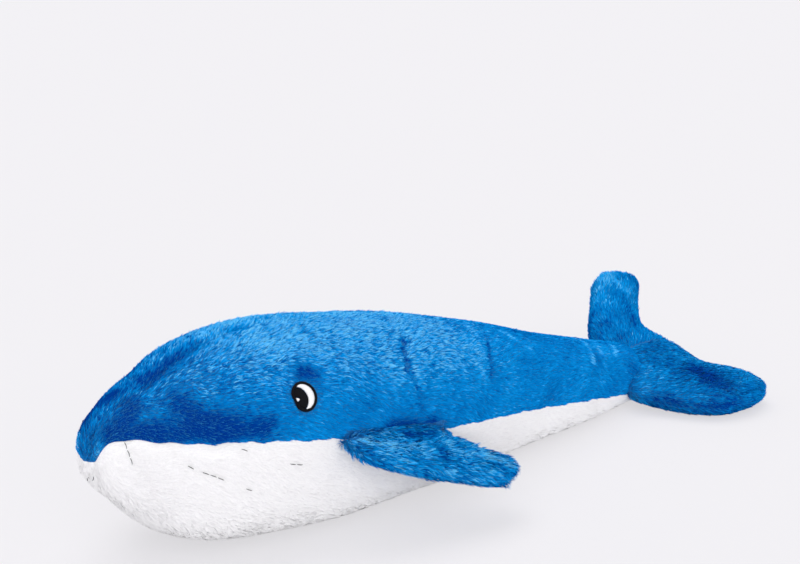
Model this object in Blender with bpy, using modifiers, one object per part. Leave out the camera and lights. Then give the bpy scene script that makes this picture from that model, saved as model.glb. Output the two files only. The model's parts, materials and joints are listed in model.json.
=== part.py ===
"""Plush whale, lying on its belly with its head towards -X and its back towards +Z.

Two blue back covers and one white belly cover are sewn round a fibre filling. A swept fin hangs from each
side seam, and the flukes are sewn across the narrow end of the body. Each of them is a small pillow of its
own: an upper cover, a lower cover and a filling. The eyes are embroidered in four fields of thread, and
seven rows of dark thread mark the pleats of the throat. The fins and the flukes turn where they are sewn on,
on rounded roots.
"""

import math

import bmesh
import bpy
from mathutils import Matrix, Vector
from mathutils.bvhtree import BVHTree

MM = 0.001

# Driving sizes of the body, from the nose to the line where the flukes turn
BODY_LENGTH = 400 * MM
BODY_HEIGHT = 112 * MM
BODY_WIDTH = 117 * MM
COVER_THICKNESS = 4 * MM
GAP = 0.3 * MM
FLAT_DEPTH = 0.5 * MM
OVERRUN = 20 * MM

# Each station of the body: share of its length, then its top, underside and side seam as shares of the
# height, its width as a share of the width, and how square its underside is, where 2 is an ellipse. The
# last one lies past the end, which is cut off.
BODY_STATION_SHARES = (
    (0.000, 0.600, 0.490, 0.525, 0.13, 2.2),
    (0.030, 0.752, 0.320, 0.656, 0.43, 2.2),
    (0.085, 0.850, 0.135, 0.664, 0.71, 2.2),
    (0.167, 0.965, 0.025, 0.633, 0.93, 2.2),
    (0.273, 1.003, 0.000, 0.551, 1.00, 2.5),
    (0.400, 0.945, 0.000, 0.455, 0.95, 3.1),
    (0.525, 0.853, 0.000, 0.385, 0.84, 3.4),
    (0.683, 0.693, 0.000, 0.300, 0.67, 3.2),
    (0.840, 0.502, 0.000, 0.200, 0.50, 3.0),
    (0.960, 0.362, 0.005, 0.112, 0.35, 2.8),
    (1.050, 0.300, 0.030, 0.085, 0.28, 2.6),
)
ALONG, TOP, UNDERSIDE, SEAM, WIDTH, SQUARENESS = range(6)
BODY_SIDES = 12
BACK_ROUNDNESS = 2.25
WIDEST_SHARE = 0.47

# Fins: the root follows the side seam between two shares of the body's length
FIN_ROOT_FRONT_SHARE = 0.290
FIN_ROOT_BACK_SHARE = 0.492
FIN_REACH = 40 * MM
FIN_SWEEP = 62 * MM
FIN_THICKNESS = 14 * MM
FIN_ROOT_RADIUS = 6 * MM
FIN_COVER_THICKNESS = 3 * MM
FIN_DROOP_DEG = 24.5
# Each station of a fin from its root: its front and back edge, each as a share of the sweep along the body
# and a share of the reach away from it, then its thickness as a share
FIN_STATION_SHARES = (
    (-0.66, 0.00, 0.66, 0.00, 0.80),
    (-0.65, 0.26, 0.76, 0.21, 1.00),
    (-0.38, 0.58, 0.84, 0.38, 1.00),
    (0.04, 0.80, 0.94, 0.55, 0.95),
    (0.45, 0.96, 1.00, 0.71, 0.85),
    (0.73, 0.98, 0.99, 0.88, 0.60),
)
FIN_SIDES = 8

# Flukes: two lobes on one pillow, which is sewn on with a roll, so that the left lobe lies down and the
# right one stands up. Their length is from the line that they turn about to the back of their tips.
FLUKE_SPAN = 158 * MM
FLUKE_LENGTH = 62 * MM
FLUKE_THICKNESS = 23 * MM
FLUKE_COVER_THICKNESS = 4 * MM
FLUKE_ROOT_RADIUS = 12 * MM
FLUKE_ROLL_DEG = 22
FLUKE_AXIS_HEIGHT_SHARE = 0.2145
STOCK_SETBACK = 7 * MM
# Each station of a lobe, from the middle to its tip: share of the half span, front and back edge as shares
# of the length, its thickness as a share, and the slope in degrees at which the lobe reaches it
LEFT_LOBE_SHARES = (
    (0.00, -0.32, 0.85, 1.00, -22),
    (0.28, -0.24, 0.90, 1.00, -23),
    (0.53, -0.09, 0.97, 1.00, -8),
    (0.76, 0.06, 1.02, 0.98, -1),
    (0.91, 0.21, 1.00, 0.86, 1),
    (1.00, 0.42, 0.85, 0.52, 2),
)
RIGHT_LOBE_SHARES = (
    (0.00, -0.32, 0.85, 1.00, 22),
    (0.28, -0.18, 0.88, 1.00, 22),
    (0.53, 0.07, 0.94, 1.00, 27),
    (0.76, 0.33, 1.01, 0.96, 30),
    (0.91, 0.51, 1.01, 0.82, 31),
    (1.00, 0.66, 0.90, 0.50, 32),
)
LOBE_SIDES = 8

# Eyes: flat fields of satin stitch on the side of the head
EYE_ALONG_SHARE = 0.248
EYE_HEIGHT_SHARE = 0.766
EYE_HEIGHT = 16 * MM
EYE_WIDTH = 15 * MM
EYE_RIM = 1.6 * MM
EYE_THREAD_THICKNESS = 1.2 * MM
EYE_FLAT_OUT = 6.5 * MM
EYE_FLAT_TURN_DEG = 201
PUPIL_HEIGHT = 13 * MM
PUPIL_WIDTH = 11.5 * MM
PUPIL_FORWARD = 4.0 * MM
PUPIL_DOWN = 1.2 * MM
GLINT_WIDTH = 2.6 * MM
GLINT_HEIGHT = 2.2 * MM
GLINT_FORWARD = 3.1 * MM
GLINT_DOWN = 0.4 * MM
OVAL_POINTS = 20

# Throat pleats: rows of thread that start at the mouth seam and run back along the belly. Each row's points
# are a share of the body's length and a share of a right angle above the side of the body.
PLEAT_THREAD_DIAMETER = 0.8 * MM
PLEAT_POINTS = 20
PLEAT_ROW_SHARES = (
    ((0.028, 0.42), (0.035, 0.27), (0.044, 0.02), (0.060, -0.26)),
    (
        (0.068, 0.36),
        (0.084, 0.16),
        (0.115, 0.045),
        (0.165, -0.10),
        (0.245, -0.235),
        (0.335, -0.355),
    ),
    ((0.122, 0.26), (0.149, 0.19), (0.194, 0.06), (0.245, -0.02), (0.292, -0.07)),
)
MIDDLE_PLEAT_ROW_SHARES = (
    (0.004, -0.30),
    (0.010, -0.55),
    (0.020, -0.75),
    (0.036, -0.86),
)

COLOURS = {
    "blue_plush": ((0.012, 0.20, 0.62), 0.85),
    "white_plush": ((0.86, 0.86, 0.87), 0.90),
    "fibre": ((0.92, 0.92, 0.90), 0.95),
    "black_thread": ((0.012, 0.012, 0.014), 0.45),
    "white_thread": ((0.90, 0.90, 0.90), 0.45),
    "grey_thread": ((0.12, 0.12, 0.13), 0.60),
}

TOTAL_LENGTH = BODY_LENGTH + FLUKE_LENGTH


def start_empty():
    """Removes the scene's objects and makes the two collections."""
    for old in list(bpy.data.objects):
        bpy.data.objects.remove(old, do_unlink=True)
    made = []
    for name in ("plush_whale", "cutters"):
        collection = bpy.data.collections.new(name)
        bpy.context.scene.collection.children.link(collection)
        made.append(collection)
    return made


def material(name):
    """The Principled material of that name, made the first time it is asked for."""
    found = bpy.data.materials.get(name)
    if found:
        return found
    colour, roughness = COLOURS[name]
    made = bpy.data.materials.new(name)
    made.use_nodes = True
    shader = made.node_tree.nodes["Principled BSDF"]
    shader.inputs["Base Color"].default_value = (*colour, 1.0)
    shader.inputs["Roughness"].default_value = roughness
    shader.inputs["Metallic"].default_value = 0.0
    return made


def add_cutter(name, mesh):
    """A guide or cutter object that holds the mesh."""
    obj = bpy.data.objects.new(name, mesh)
    cutters.objects.link(obj)
    obj.hide_render = True
    obj.display_type = "WIRE"
    return obj


def boolean(obj, other, operation):
    cut = obj.modifiers.new(other.name, "BOOLEAN")
    cut.operation = operation
    cut.object = other
    cut.solver = "EXACT"


def frozen(obj, name):
    """A plain mesh object of what obj evaluates to, in world space."""
    bpy.context.view_layer.update()
    graph = bpy.context.evaluated_depsgraph_get()
    mesh = bpy.data.meshes.new_from_object(obj.evaluated_get(graph))
    mesh.transform(obj.matrix_world)
    mesh.name = name
    return add_cutter(name, mesh)


def surface_of(obj):
    """A tree of obj's evaluated faces, to place pieces on them."""
    bpy.context.view_layer.update()
    return BVHTree.FromObject(obj, bpy.context.evaluated_depsgraph_get())


def weld_caps(obj):
    """Joins a curve's loose caps to its sides."""
    work = bmesh.new()
    work.from_mesh(obj.data)
    bmesh.ops.remove_doubles(work, verts=work.verts, dist=GAP / 30)
    bmesh.ops.recalc_face_normals(work, faces=work.faces)
    work.to_mesh(obj.data)
    work.free()


def add_extrusion(name, outline, half_depth, placed):
    """A flat outline in the XY plane of a matrix, extruded both ways, as a mesh."""
    curve = bpy.data.curves.new(name, "CURVE")
    curve.dimensions = "2D"
    curve.fill_mode = "BOTH"
    curve.extrude = half_depth
    spline = curve.splines.new("POLY")
    spline.points.add(len(outline) - 1)
    for point, (x, y) in zip(spline.points, outline):
        point.co = (x, y, 0, 1)
    spline.use_cyclic_u = True
    drawn = add_cutter(name + "_outline", curve)
    drawn.matrix_world = placed
    made = frozen(drawn, name)
    bpy.data.objects.remove(drawn, do_unlink=True)
    weld_caps(made)
    return made


def frame_of(x_axis, y_axis, origin):
    """A right-handed frame from its X and Y directions and its origin."""
    placed = Matrix((x_axis, y_axis, x_axis.cross(y_axis))).transposed().to_4x4()
    placed.translation = origin
    return placed


def show(obj, material_name, pivot=None):
    """Makes obj a finished piece of the whale, held by its pivot if it has one."""
    obj.hide_render = False
    obj.display_type = "TEXTURED"
    cutters.objects.unlink(obj)
    whale.objects.link(obj)
    obj.data.materials.clear()
    obj.data.materials.append(material(material_name))
    if pivot:
        obj.data.transform(pivot.matrix_world.inverted())
        obj.parent = pivot


def add_pivot(name, placed):
    """An empty on a joint, its Z along the joint's line."""
    pivot = bpy.data.objects.new(name, None)
    pivot.matrix_world = placed
    whale.objects.link(pivot)
    bpy.context.view_layer.update()
    return pivot


def oval_ring(half_width, top, bottom, sides, roundness=(2, 2), widest_share=0.5):
    """Points of a cross-section as (across, up), counter-clockwise from the +across side.

    roundness is that of the upper and the lower half: 2 is an ellipse, and more is squarer."""
    middle = bottom + widest_share * (top - bottom)
    ring = []
    for step in range(sides):
        angle = math.tau * step / sides
        upper = step <= sides / 2
        across, up = (
            math.copysign(abs(value) ** (2 / roundness[0 if upper else 1]), value)
            for value in (math.cos(angle), math.sin(angle))
        )
        height = (top - middle) if upper else (middle - bottom)
        ring.append((half_width * across, middle + height * up))
    return ring


def stood_out(rings):
    """A Subdivision Surface pulls its cage inwards, so each ring of the cage stands out by as much."""
    count, sides = len(rings), len(rings[0])
    cage = rings
    for _ in range(4):
        pulled = []
        for i in range(count):
            row = []
            for j in range(sides):
                total = Vector()
                for di, wi in ((-1, 1), (0, 4), (1, 1)):
                    ring = cage[min(max(i + di, 0), count - 1)]
                    for dj, wj in ((-1, 1), (0, 4), (1, 1)):
                        total += ring[(j + dj) % sides] * (wi * wj / 36)
                row.append(total)
            pulled.append(row)
        cage = [
            [cage[i][j] + rings[i][j] - pulled[i][j] for j in range(sides)]
            for i in range(count)
        ]
    return cage


def add_loft(name, rings):
    """A soft closed form through rings of points, from a coarse cage with Subdivision Surface."""
    cage = stood_out(rings)
    sides = len(cage[0])
    work = bmesh.new()
    loops = [[work.verts.new(point) for point in ring] for ring in cage]
    for ring, following in zip(loops, loops[1:]):
        for j in range(sides):
            k = (j + 1) % sides
            work.faces.new((ring[j], following[j], following[k], ring[k]))
    work.faces.new(loops[0])
    work.faces.new(reversed(loops[-1]))
    if work.calc_volume(signed=True) < 0:
        bmesh.ops.reverse_faces(work, faces=work.faces)
    mesh = bpy.data.meshes.new(name)
    work.to_mesh(mesh)
    work.free()
    obj = add_cutter(name, mesh)
    smooth = obj.modifiers.new("soften", "SUBSURF")
    smooth.levels = 1
    smooth.render_levels = 1
    return obj


def body_x(share):
    """Place along the whale of a share of the body's length, with the origin at mid length."""
    return share * BODY_LENGTH - TOTAL_LENGTH / 2


def body_value(column, share):
    """A column of the body's table at any share of its length, on a smooth curve through the stations."""
    rows = BODY_STATION_SHARES
    i = max(k for k in range(len(rows) - 1) if k == 0 or rows[k][ALONG] <= share)
    before, start, end, after = (
        rows[min(max(k, 0), len(rows) - 1)] for k in (i - 1, i, i + 1, i + 2)
    )
    step = end[ALONG] - start[ALONG]
    t = (share - start[ALONG]) / step
    slope_a = step * (end[column] - before[column]) / (end[ALONG] - before[ALONG])
    slope_b = step * (after[column] - start[column]) / (after[ALONG] - start[ALONG])
    return (
        (2 * t**3 - 3 * t**2 + 1) * start[column]
        + (t**3 - 2 * t**2 + t) * slope_a
        + (3 * t**2 - 2 * t**3) * end[column]
        + (t**3 - t**2) * slope_b
    )


def seam_height(share):
    return body_value(SEAM, share) * BODY_HEIGHT - FLAT_DEPTH


def add_body_form(name, inset):
    """The stuffed body's shape, smaller all round by inset."""
    rings = []
    for row in BODY_STATION_SHARES:
        half_width = row[WIDTH] * BODY_WIDTH / 2 - inset
        top = row[TOP] * BODY_HEIGHT - inset - FLAT_DEPTH
        bottom = row[UNDERSIDE] * BODY_HEIGHT + inset - FLAT_DEPTH
        x = body_x(row[ALONG]) + inset * (1 - row[ALONG])
        roundness = (BACK_ROUNDNESS, row[SQUARENESS])
        ring = oval_ring(half_width, top, bottom, BODY_SIDES, roundness, WIDEST_SHARE)
        rings.append([Vector((x, across, up)) for across, up in ring])
    return add_loft(name, rings)


def add_above_seam(name, lift):
    """All that lies above the side seam, with its underside lifted."""
    steps = 40
    line = [
        (body_x(k / steps), seam_height(k / steps) + lift) for k in range(steps + 1)
    ]
    high = BODY_HEIGHT + OVERRUN
    front, back = line[0][0] - OVERRUN, line[-1][0] + OVERRUN
    outline = [(front, high), (front, line[0][1]), *line, (back, line[-1][1])]
    outline.append((back, high))
    upright = Matrix.Rotation(math.radians(90), 4, "X")
    return add_extrusion(name, outline, BODY_WIDTH, upright)


def add_block(name, low, high):
    """A box cutter between two corners."""
    low, high = Vector(low), Vector(high)
    bpy.ops.mesh.primitive_cube_add(size=1, location=(low + high) / 2)
    block = bpy.context.object
    block.scale = high - low
    made = frozen(block, name)
    bpy.data.objects.remove(block, do_unlink=True)
    return made


def arc(radius, start_deg, end_deg, steps=10):
    return [
        (radius * math.cos(math.radians(angle)), radius * math.sin(math.radians(angle)))
        for angle in (start_deg + (end_deg - start_deg) * k / steps for k in range(steps + 1))
    ]


def add_root_cutter(name, placed, radius, reach):
    """All on the body's side of a joint but a round root about the joint's line, which is the frame's Z."""
    outline = [(0, reach), *arc(radius, 90, 270), (0, -reach), (-reach, -reach)]
    outline.append((-reach, reach))
    return add_extrusion(name, outline, reach, placed)


def add_tail_cutter(name, inset):
    """All past the body's end: a flat end, hollowed for the round root of the flukes."""
    radius = FLUKE_ROOT_RADIUS + GAP + inset
    setback = STOCK_SETBACK + inset
    turn = math.degrees(math.acos(setback / radius))
    reach = BODY_WIDTH
    outline = [(reach, reach), (-setback, reach)]
    outline += arc(radius, 180 - turn, 180 + turn)
    outline += [(-setback, -reach), (reach, -reach)]
    return add_extrusion(name, outline, reach, fluke_frame())


def build_body():
    """Two back covers and a belly cover round the filling. Returns the outer form."""
    outer = add_body_form("body_outside", 0)
    inner = add_body_form("body_inside", COVER_THICKNESS)
    filling = add_body_form("body_filling", COVER_THICKNESS + GAP)
    tail = add_tail_cutter("tail_cutter", 0)
    boolean(inner, add_tail_cutter("tail_cutter_inside", COVER_THICKNESS), "DIFFERENCE")
    boolean(
        filling,
        add_tail_cutter("tail_cutter_filling", COVER_THICKNESS + GAP),
        "DIFFERENCE",
    )
    low = Vector((-TOTAL_LENGTH, -BODY_WIDTH, -OVERRUN))
    high = Vector((TOTAL_LENGTH, BODY_WIDTH, BODY_HEIGHT + OVERRUN))
    for side, word in ((-1, "left"), (1, "right")):
        name = f"back_cover_{word}"
        cover = frozen(outer, name)
        near, far = sorted((side * GAP / 2, side * BODY_WIDTH))
        half = add_block(f"half_{word}", (low.x, near, low.z), (high.x, far, high.z))
        boolean(cover, add_above_seam(f"above_{word}", GAP / 2), "INTERSECT")
        boolean(cover, half, "INTERSECT")
        boolean(cover, tail, "DIFFERENCE")
        boolean(cover, inner, "DIFFERENCE")
        show(cover, "blue_plush")
    belly = frozen(outer, "belly_cover")
    boolean(belly, inner, "DIFFERENCE")
    boolean(belly, add_above_seam("above_belly", -GAP / 2), "DIFFERENCE")
    boolean(belly, add_block("floor", low, (high.x, high.y, 0)), "DIFFERENCE")
    boolean(belly, tail, "DIFFERENCE")
    show(belly, "white_plush")
    show(filling, "fibre")
    return outer


def build_pillow(names, add_form, cover_thickness, root_radius, placed, parting, reach):
    """Upper cover, lower cover and filling of a small pillow that turns about its round root.

    add_form makes the pillow's shape with an inset, and parting makes all that lies above its seam."""
    upper_name, lower_name, filling_name = names
    pivot = add_pivot(f"{upper_name}_pivot", placed)
    forms = []
    for name, inset in (
        (f"{upper_name}_outside", 0),
        (f"{upper_name}_inside", cover_thickness),
        (filling_name, cover_thickness + GAP),
    ):
        form = add_form(name, inset)
        root = add_root_cutter(f"{name}_root", placed, root_radius - inset, reach)
        boolean(form, root, "DIFFERENCE")
        forms.append(form)
    outer, inner, filling = forms
    for name, operation, lift in (
        (upper_name, "INTERSECT", GAP / 2),
        (lower_name, "DIFFERENCE", -GAP / 2),
    ):
        cover = frozen(outer, name)
        boolean(cover, parting(f"parting_{name}", lift), operation)
        boolean(cover, inner, "DIFFERENCE")
        show(cover, "blue_plush", pivot)
    show(filling, "fibre", pivot)


def fin_frame(side, surface):
    """A fin's frame: X away from the body, Y up through the fin and Z along its root.

    The root lies along the side seam, as close to the body as its roundness lets it."""
    front, back = (
        Vector(
            (
                body_x(share),
                side * body_value(WIDTH, share) * BODY_WIDTH / 2,
                seam_height(share),
            )
        )
        for share in (FIN_ROOT_FRONT_SHARE, FIN_ROOT_BACK_SHARE)
    )
    along = (back - front).normalized()
    droop = math.radians(FIN_DROOP_DEG)
    outward = Vector((0, side * math.cos(droop), -math.sin(droop)))
    outward = (outward - outward.dot(along) * along).normalized()
    middle = (front + back) / 2 + outward * FIN_ROOT_RADIUS
    half_root = FIN_SWEEP * FIN_STATION_SHARES[0][2]
    for _ in range(4):
        clear = min(
            surface.find_nearest(middle + along * (half_root * k / 10))[3]
            for k in range(-10, 11)
        )
        middle += outward * (FIN_ROOT_RADIUS + GAP - clear)
    return frame_of(outward, along.cross(outward) * side, middle), along


def add_fin_form(name, placed, along, inset):
    """A fin's shape, smaller all round by inset. It starts inside the body, where the root's cut ends it."""
    outward, normal = (placed.to_3x3().col[k] for k in (0, 1))
    middle = placed.translation
    rows = [(*FIN_STATION_SHARES[0], -2 * FIN_ROOT_RADIUS)]
    rows += [(*row, 0) for row in FIN_STATION_SHARES]
    rings = []
    for number, row in enumerate(rows):
        front_along, front_out, back_along, back_out, thick, shift = row
        front, back = (
            middle + along * (a * FIN_SWEEP) + outward * (out * FIN_REACH + shift)
            for a, out in ((front_along, front_out), (back_along, back_out))
        )
        across = (back - front).normalized()
        half_chord = (back - front).length / 2 - inset
        half_thick = thick * FIN_THICKNESS / 2 - inset
        centre = (front + back) / 2
        if number == len(rows) - 1:
            past_tip = across.cross(normal)
            centre -= past_tip * math.copysign(inset, past_tip.dot(outward))
        ring = oval_ring(half_chord, half_thick, -half_thick, FIN_SIDES)
        rings.append([centre + across * a + normal * up for a, up in ring])
    return add_loft(name, rings)


def build_fin(side, word, surface):
    placed, along = fin_frame(side, surface)
    reach = FIN_SWEEP + FIN_REACH

    def parting(name, lift):
        outline = [(-reach, lift), (reach, lift), (reach, reach), (-reach, reach)]
        return add_extrusion(name, outline, 2 * reach, placed)

    build_pillow(
        (f"fin_upper_cover_{word}", f"fin_lower_cover_{word}", f"fin_filling_{word}"),
        lambda name, inset: add_fin_form(name, placed, along, inset),
        FIN_COVER_THICKNESS,
        FIN_ROOT_RADIUS,
        placed,
        parting,
        1.5 * reach,
    )


def slope(degrees):
    """Along a lobe away from the left tip, at a slope."""
    return Vector((0, math.cos(math.radians(degrees)), math.sin(math.radians(degrees))))


def lobe_stations(side):
    """The middle of each station of a lobe, the way its slope runs there and its row of shares."""
    rows = LEFT_LOBE_SHARES if side < 0 else RIGHT_LOBE_SHARES
    turns = [row[4] * side for row in rows]
    spot = fluke_frame().translation
    made = []
    for number, row in enumerate(rows):
        if number:
            step = (row[0] - rows[number - 1][0]) * FLUKE_SPAN / 2
            spot = spot + slope(turns[number]) * step * side
        following = turns[min(number + 1, len(rows) - 1)]
        made.append((spot, slope((turns[number] + following) / 2), row))
    return made


def fluke_frame():
    """The flukes' frame: X towards the tail, Y up through them and Z along the line that they turn about."""
    roll = math.radians(FLUKE_ROLL_DEG)
    up = Vector((0, -math.sin(roll), math.cos(roll)))
    axis_height = FLUKE_AXIS_HEIGHT_SHARE * BODY_HEIGHT
    return frame_of(Vector((1, 0, 0)), up, Vector((body_x(1), 0, axis_height)))


def add_fluke_form(name, inset):
    """The flukes' shape, smaller all round by inset, as one loft from the left tip to the right tip."""
    stations = [*reversed(lobe_stations(-1)), *lobe_stations(1)[1:]]
    rings = []
    for number, (middle, along, row) in enumerate(stations):
        _, front, back, thick, _ = row
        normal = Vector((1, 0, 0)).cross(along)
        if number in (0, len(stations) - 1):
            middle = middle + along * (inset if number == 0 else -inset)
        middle = middle + Vector(((front + back) / 2 * FLUKE_LENGTH, 0, 0))
        half_chord = (back - front) / 2 * FLUKE_LENGTH - inset
        half_thick = thick * FLUKE_THICKNESS / 2 - inset
        ring = oval_ring(half_chord, half_thick, -half_thick, LOBE_SIDES)
        rings.append([middle + Vector((a, 0, 0)) + normal * up for a, up in ring])
    return add_loft(name, rings)


def add_fluke_parting(name, lift):
    """All that lies above the flukes' bent middle surface, with its underside lifted."""
    stations = [*reversed(lobe_stations(-1)), *lobe_stations(1)[1:]]
    line = [spot for spot, _, _ in stations]
    line.insert(0, line[0] - stations[0][1] * FLUKE_SPAN)
    line.append(line[-1] + stations[-1][1] * FLUKE_SPAN)
    high = line[-1].z + FLUKE_SPAN
    outline = [(spot.y, spot.z + lift) for spot in line]
    outline += [(line[-1].y, high), (line[0].y, high)]
    facing = frame_of(Vector((0, 1, 0)), Vector((0, 0, 1)), Vector((body_x(1), 0, 0)))
    return add_extrusion(name, outline, FLUKE_SPAN, facing)


def build_flukes():
    build_pillow(
        ("fluke_upper_cover", "fluke_lower_cover", "fluke_filling"),
        add_fluke_form,
        FLUKE_COVER_THICKNESS,
        FLUKE_ROOT_RADIUS,
        fluke_frame(),
        add_fluke_parting,
        FLUKE_SPAN,
    )


def eye_frame(side, surface):
    """A frame on the side of the head, its Z out of the head and its Y up."""
    x = body_x(EYE_ALONG_SHARE)
    height = EYE_HEIGHT_SHARE * BODY_HEIGHT
    hit, normal, _, _ = surface.ray_cast(
        Vector((x, side * BODY_WIDTH, height)), Vector((0, -side, 0))
    )
    out = normal.normalized()
    up = Vector((0, 0, 1))
    up = (up - up.dot(out) * out).normalized()
    return frame_of(up.cross(out), up, hit)


def eye_outline(side, grow, width, height, forward=0.0, down=0.0, flat=True):
    """Points of an upright oval, cut flat at its lower front, in the eye's frame."""
    turn = math.radians(EYE_FLAT_TURN_DEG)
    points = []
    for k in range(OVAL_POINTS):
        angle = math.tau * k / OVAL_POINTS
        back = (width / 2 + grow) * math.cos(angle) - forward
        up = (height / 2 + grow) * math.sin(angle) - down
        past = back * math.cos(turn) + up * math.sin(turn) - (EYE_FLAT_OUT + grow)
        if flat and past > 0:
            back -= past * math.cos(turn)
            up -= past * math.sin(turn)
        points.append((back * -side, up))
    return points


def build_eye(side, word, surface, body_grown):
    """Rim, white, pupil and glint: fields of thread side by side, which follow the head's curve."""
    placed = eye_frame(side, surface)
    layer = add_body_form(f"eye_layer_{word}", -GAP - EYE_THREAD_THICKNESS)
    whole = (EYE_WIDTH, EYE_HEIGHT)
    pupil = (PUPIL_WIDTH, PUPIL_HEIGHT, PUPIL_FORWARD, PUPIL_DOWN)
    glint = (GLINT_WIDTH, GLINT_HEIGHT, GLINT_FORWARD, GLINT_DOWN, False)
    depth = EYE_HEIGHT / 2

    def field(name, grow, shape, deeper=1.0):
        outline = eye_outline(side, grow, *shape)
        return add_extrusion(f"{name}_{word}", outline, depth * deeper, placed)

    rows = (
        ("eye_rim", 0, whole, None, (-EYE_RIM, whole), "black_thread"),
        ("eye_white", -EYE_RIM - GAP, whole, None, (GAP, pupil), "white_thread"),
        ("eye_pupil", 0, pupil, (-EYE_RIM - GAP, whole), (GAP, glint), "black_thread"),
        ("eye_glint", 0, glint, None, None, "white_thread"),
    )
    for name, grow, shape, within, without, thread in rows:
        piece = field(name, grow, shape)
        if within:
            boolean(piece, field(f"{name}_within", *within, 1.2), "INTERSECT")
        if without:
            boolean(piece, field(f"{name}_without", *without, 1.4), "DIFFERENCE")
        boolean(piece, layer, "INTERSECT")
        boolean(piece, body_grown, "DIFFERENCE")
        show(piece, thread)


def point_on_row(row, share):
    """A point of a pleat's row at a share of it, on a smooth curve through the row's points."""
    spot = share * (len(row) - 1)
    i = min(int(spot), len(row) - 2)
    t = spot - i
    before, start, end, after = (
        row[min(max(k, 0), len(row) - 1)] for k in (i - 1, i, i + 1, i + 2)
    )
    return [
        b
        + (c - a) * t / 2
        + (2 * a - 5 * b + 4 * c - d) * t**2 / 2
        + (3 * b - a - 3 * c + d) * t**3 / 2
        for a, b, c, d in zip(before, start, end, after)
    ]


def build_pleat(name, row, side, surface):
    """One row of thread that lies on the belly cover."""
    curve = bpy.data.curves.new(name, "CURVE")
    curve.dimensions = "3D"
    curve.bevel_depth = PLEAT_THREAD_DIAMETER / 2
    curve.bevel_resolution = 1
    curve.use_fill_caps = True
    spline = curve.splines.new("POLY")
    spline.points.add(PLEAT_POINTS - 1)
    for number, point in enumerate(spline.points):
        along, turn = point_on_row(row, number / (PLEAT_POINTS - 1))
        top, under = (
            body_value(column, along) * BODY_HEIGHT - FLAT_DEPTH
            for column in (TOP, UNDERSIDE)
        )
        angle = math.radians(90 * turn)
        middle = Vector((body_x(along), 0, under + WIDEST_SHARE * (top - under)))
        out = Vector((0, side * math.cos(angle), math.sin(angle)))
        hit, normal, _, _ = surface.ray_cast(middle, out)
        point.co = (*(hit + normal * (PLEAT_THREAD_DIAMETER / 2 + GAP)), 1)
    thread = add_cutter(name + "_row", curve)
    made = frozen(thread, name)
    bpy.data.objects.remove(thread, do_unlink=True)
    weld_caps(made)
    show(made, "grey_thread")


whale, cutters = start_empty()
body_form = build_body()
body_surface = surface_of(body_form)
grown_form = add_body_form("body_grown", -GAP)
for body_side, side_word in ((-1, "left"), (1, "right")):
    build_fin(body_side, side_word, body_surface)
    build_eye(body_side, side_word, body_surface, grown_form)
    for row_number, pleat in enumerate(PLEAT_ROW_SHARES, start=1):
        build_pleat(
            f"pleat_stitch_{row_number}_{side_word}", pleat, body_side, body_surface
        )
build_pleat("pleat_stitch_middle", MIDDLE_PLEAT_ROW_SHARES, -1, body_surface)
build_flukes()
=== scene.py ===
"""Plush whale in long blue and white pile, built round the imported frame.

Each sewn panel is a skin on its own part of the stuffed form, and the pile on it is real: tapered strands
that lean along the nap, gather in tufts and are pressed flat where the whale lies. The eyes are rows of
satin stitch, and the pleats of the throat are stitches sunk in their grooves.
"""

import functools
import json
import math

import bpy
import numpy as np
from bpy.props import FloatProperty, FloatVectorProperty, IntProperty, PointerProperty
from bpy.types import Operator, Panel, PropertyGroup
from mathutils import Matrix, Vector
from mathutils.kdtree import KDTree


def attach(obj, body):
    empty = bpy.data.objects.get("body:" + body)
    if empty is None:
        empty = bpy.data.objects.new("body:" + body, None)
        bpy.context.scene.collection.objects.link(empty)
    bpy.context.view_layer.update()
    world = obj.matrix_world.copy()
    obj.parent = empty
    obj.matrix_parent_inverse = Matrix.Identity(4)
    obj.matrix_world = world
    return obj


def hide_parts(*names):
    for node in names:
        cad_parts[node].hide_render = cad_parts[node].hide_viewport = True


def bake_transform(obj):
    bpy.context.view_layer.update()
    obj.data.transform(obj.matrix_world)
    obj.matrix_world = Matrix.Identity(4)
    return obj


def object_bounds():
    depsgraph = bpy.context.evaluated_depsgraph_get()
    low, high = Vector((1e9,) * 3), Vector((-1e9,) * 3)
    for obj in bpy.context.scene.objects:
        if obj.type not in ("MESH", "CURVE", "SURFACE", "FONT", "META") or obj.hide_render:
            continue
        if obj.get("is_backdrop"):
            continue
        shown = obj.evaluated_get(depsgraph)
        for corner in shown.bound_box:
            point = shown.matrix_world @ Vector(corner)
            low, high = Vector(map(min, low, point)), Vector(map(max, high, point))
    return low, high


bl_info = {
    "name": "Plush whale",
    "version": (1, 0, 0),
    "blender": (4, 5, 0),
    "location": "View3D > Sidebar > Whale",
    "description": "Builds a plush whale and its stage round the packed frame",
    "category": "Object",
}

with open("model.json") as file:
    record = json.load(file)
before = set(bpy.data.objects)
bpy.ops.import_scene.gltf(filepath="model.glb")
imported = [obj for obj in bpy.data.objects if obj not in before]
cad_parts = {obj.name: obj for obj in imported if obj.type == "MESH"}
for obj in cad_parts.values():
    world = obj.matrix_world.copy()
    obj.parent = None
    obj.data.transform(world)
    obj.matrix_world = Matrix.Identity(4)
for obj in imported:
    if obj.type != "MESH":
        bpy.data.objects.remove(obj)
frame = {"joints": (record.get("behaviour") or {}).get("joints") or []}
JOINTS = {joint["name"]: joint for joint in frame["joints"]}
MM = 0.001
PER_SQUARE_CM = 1e4
SIDES = ((-1, "left"), (1, "right"))

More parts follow.
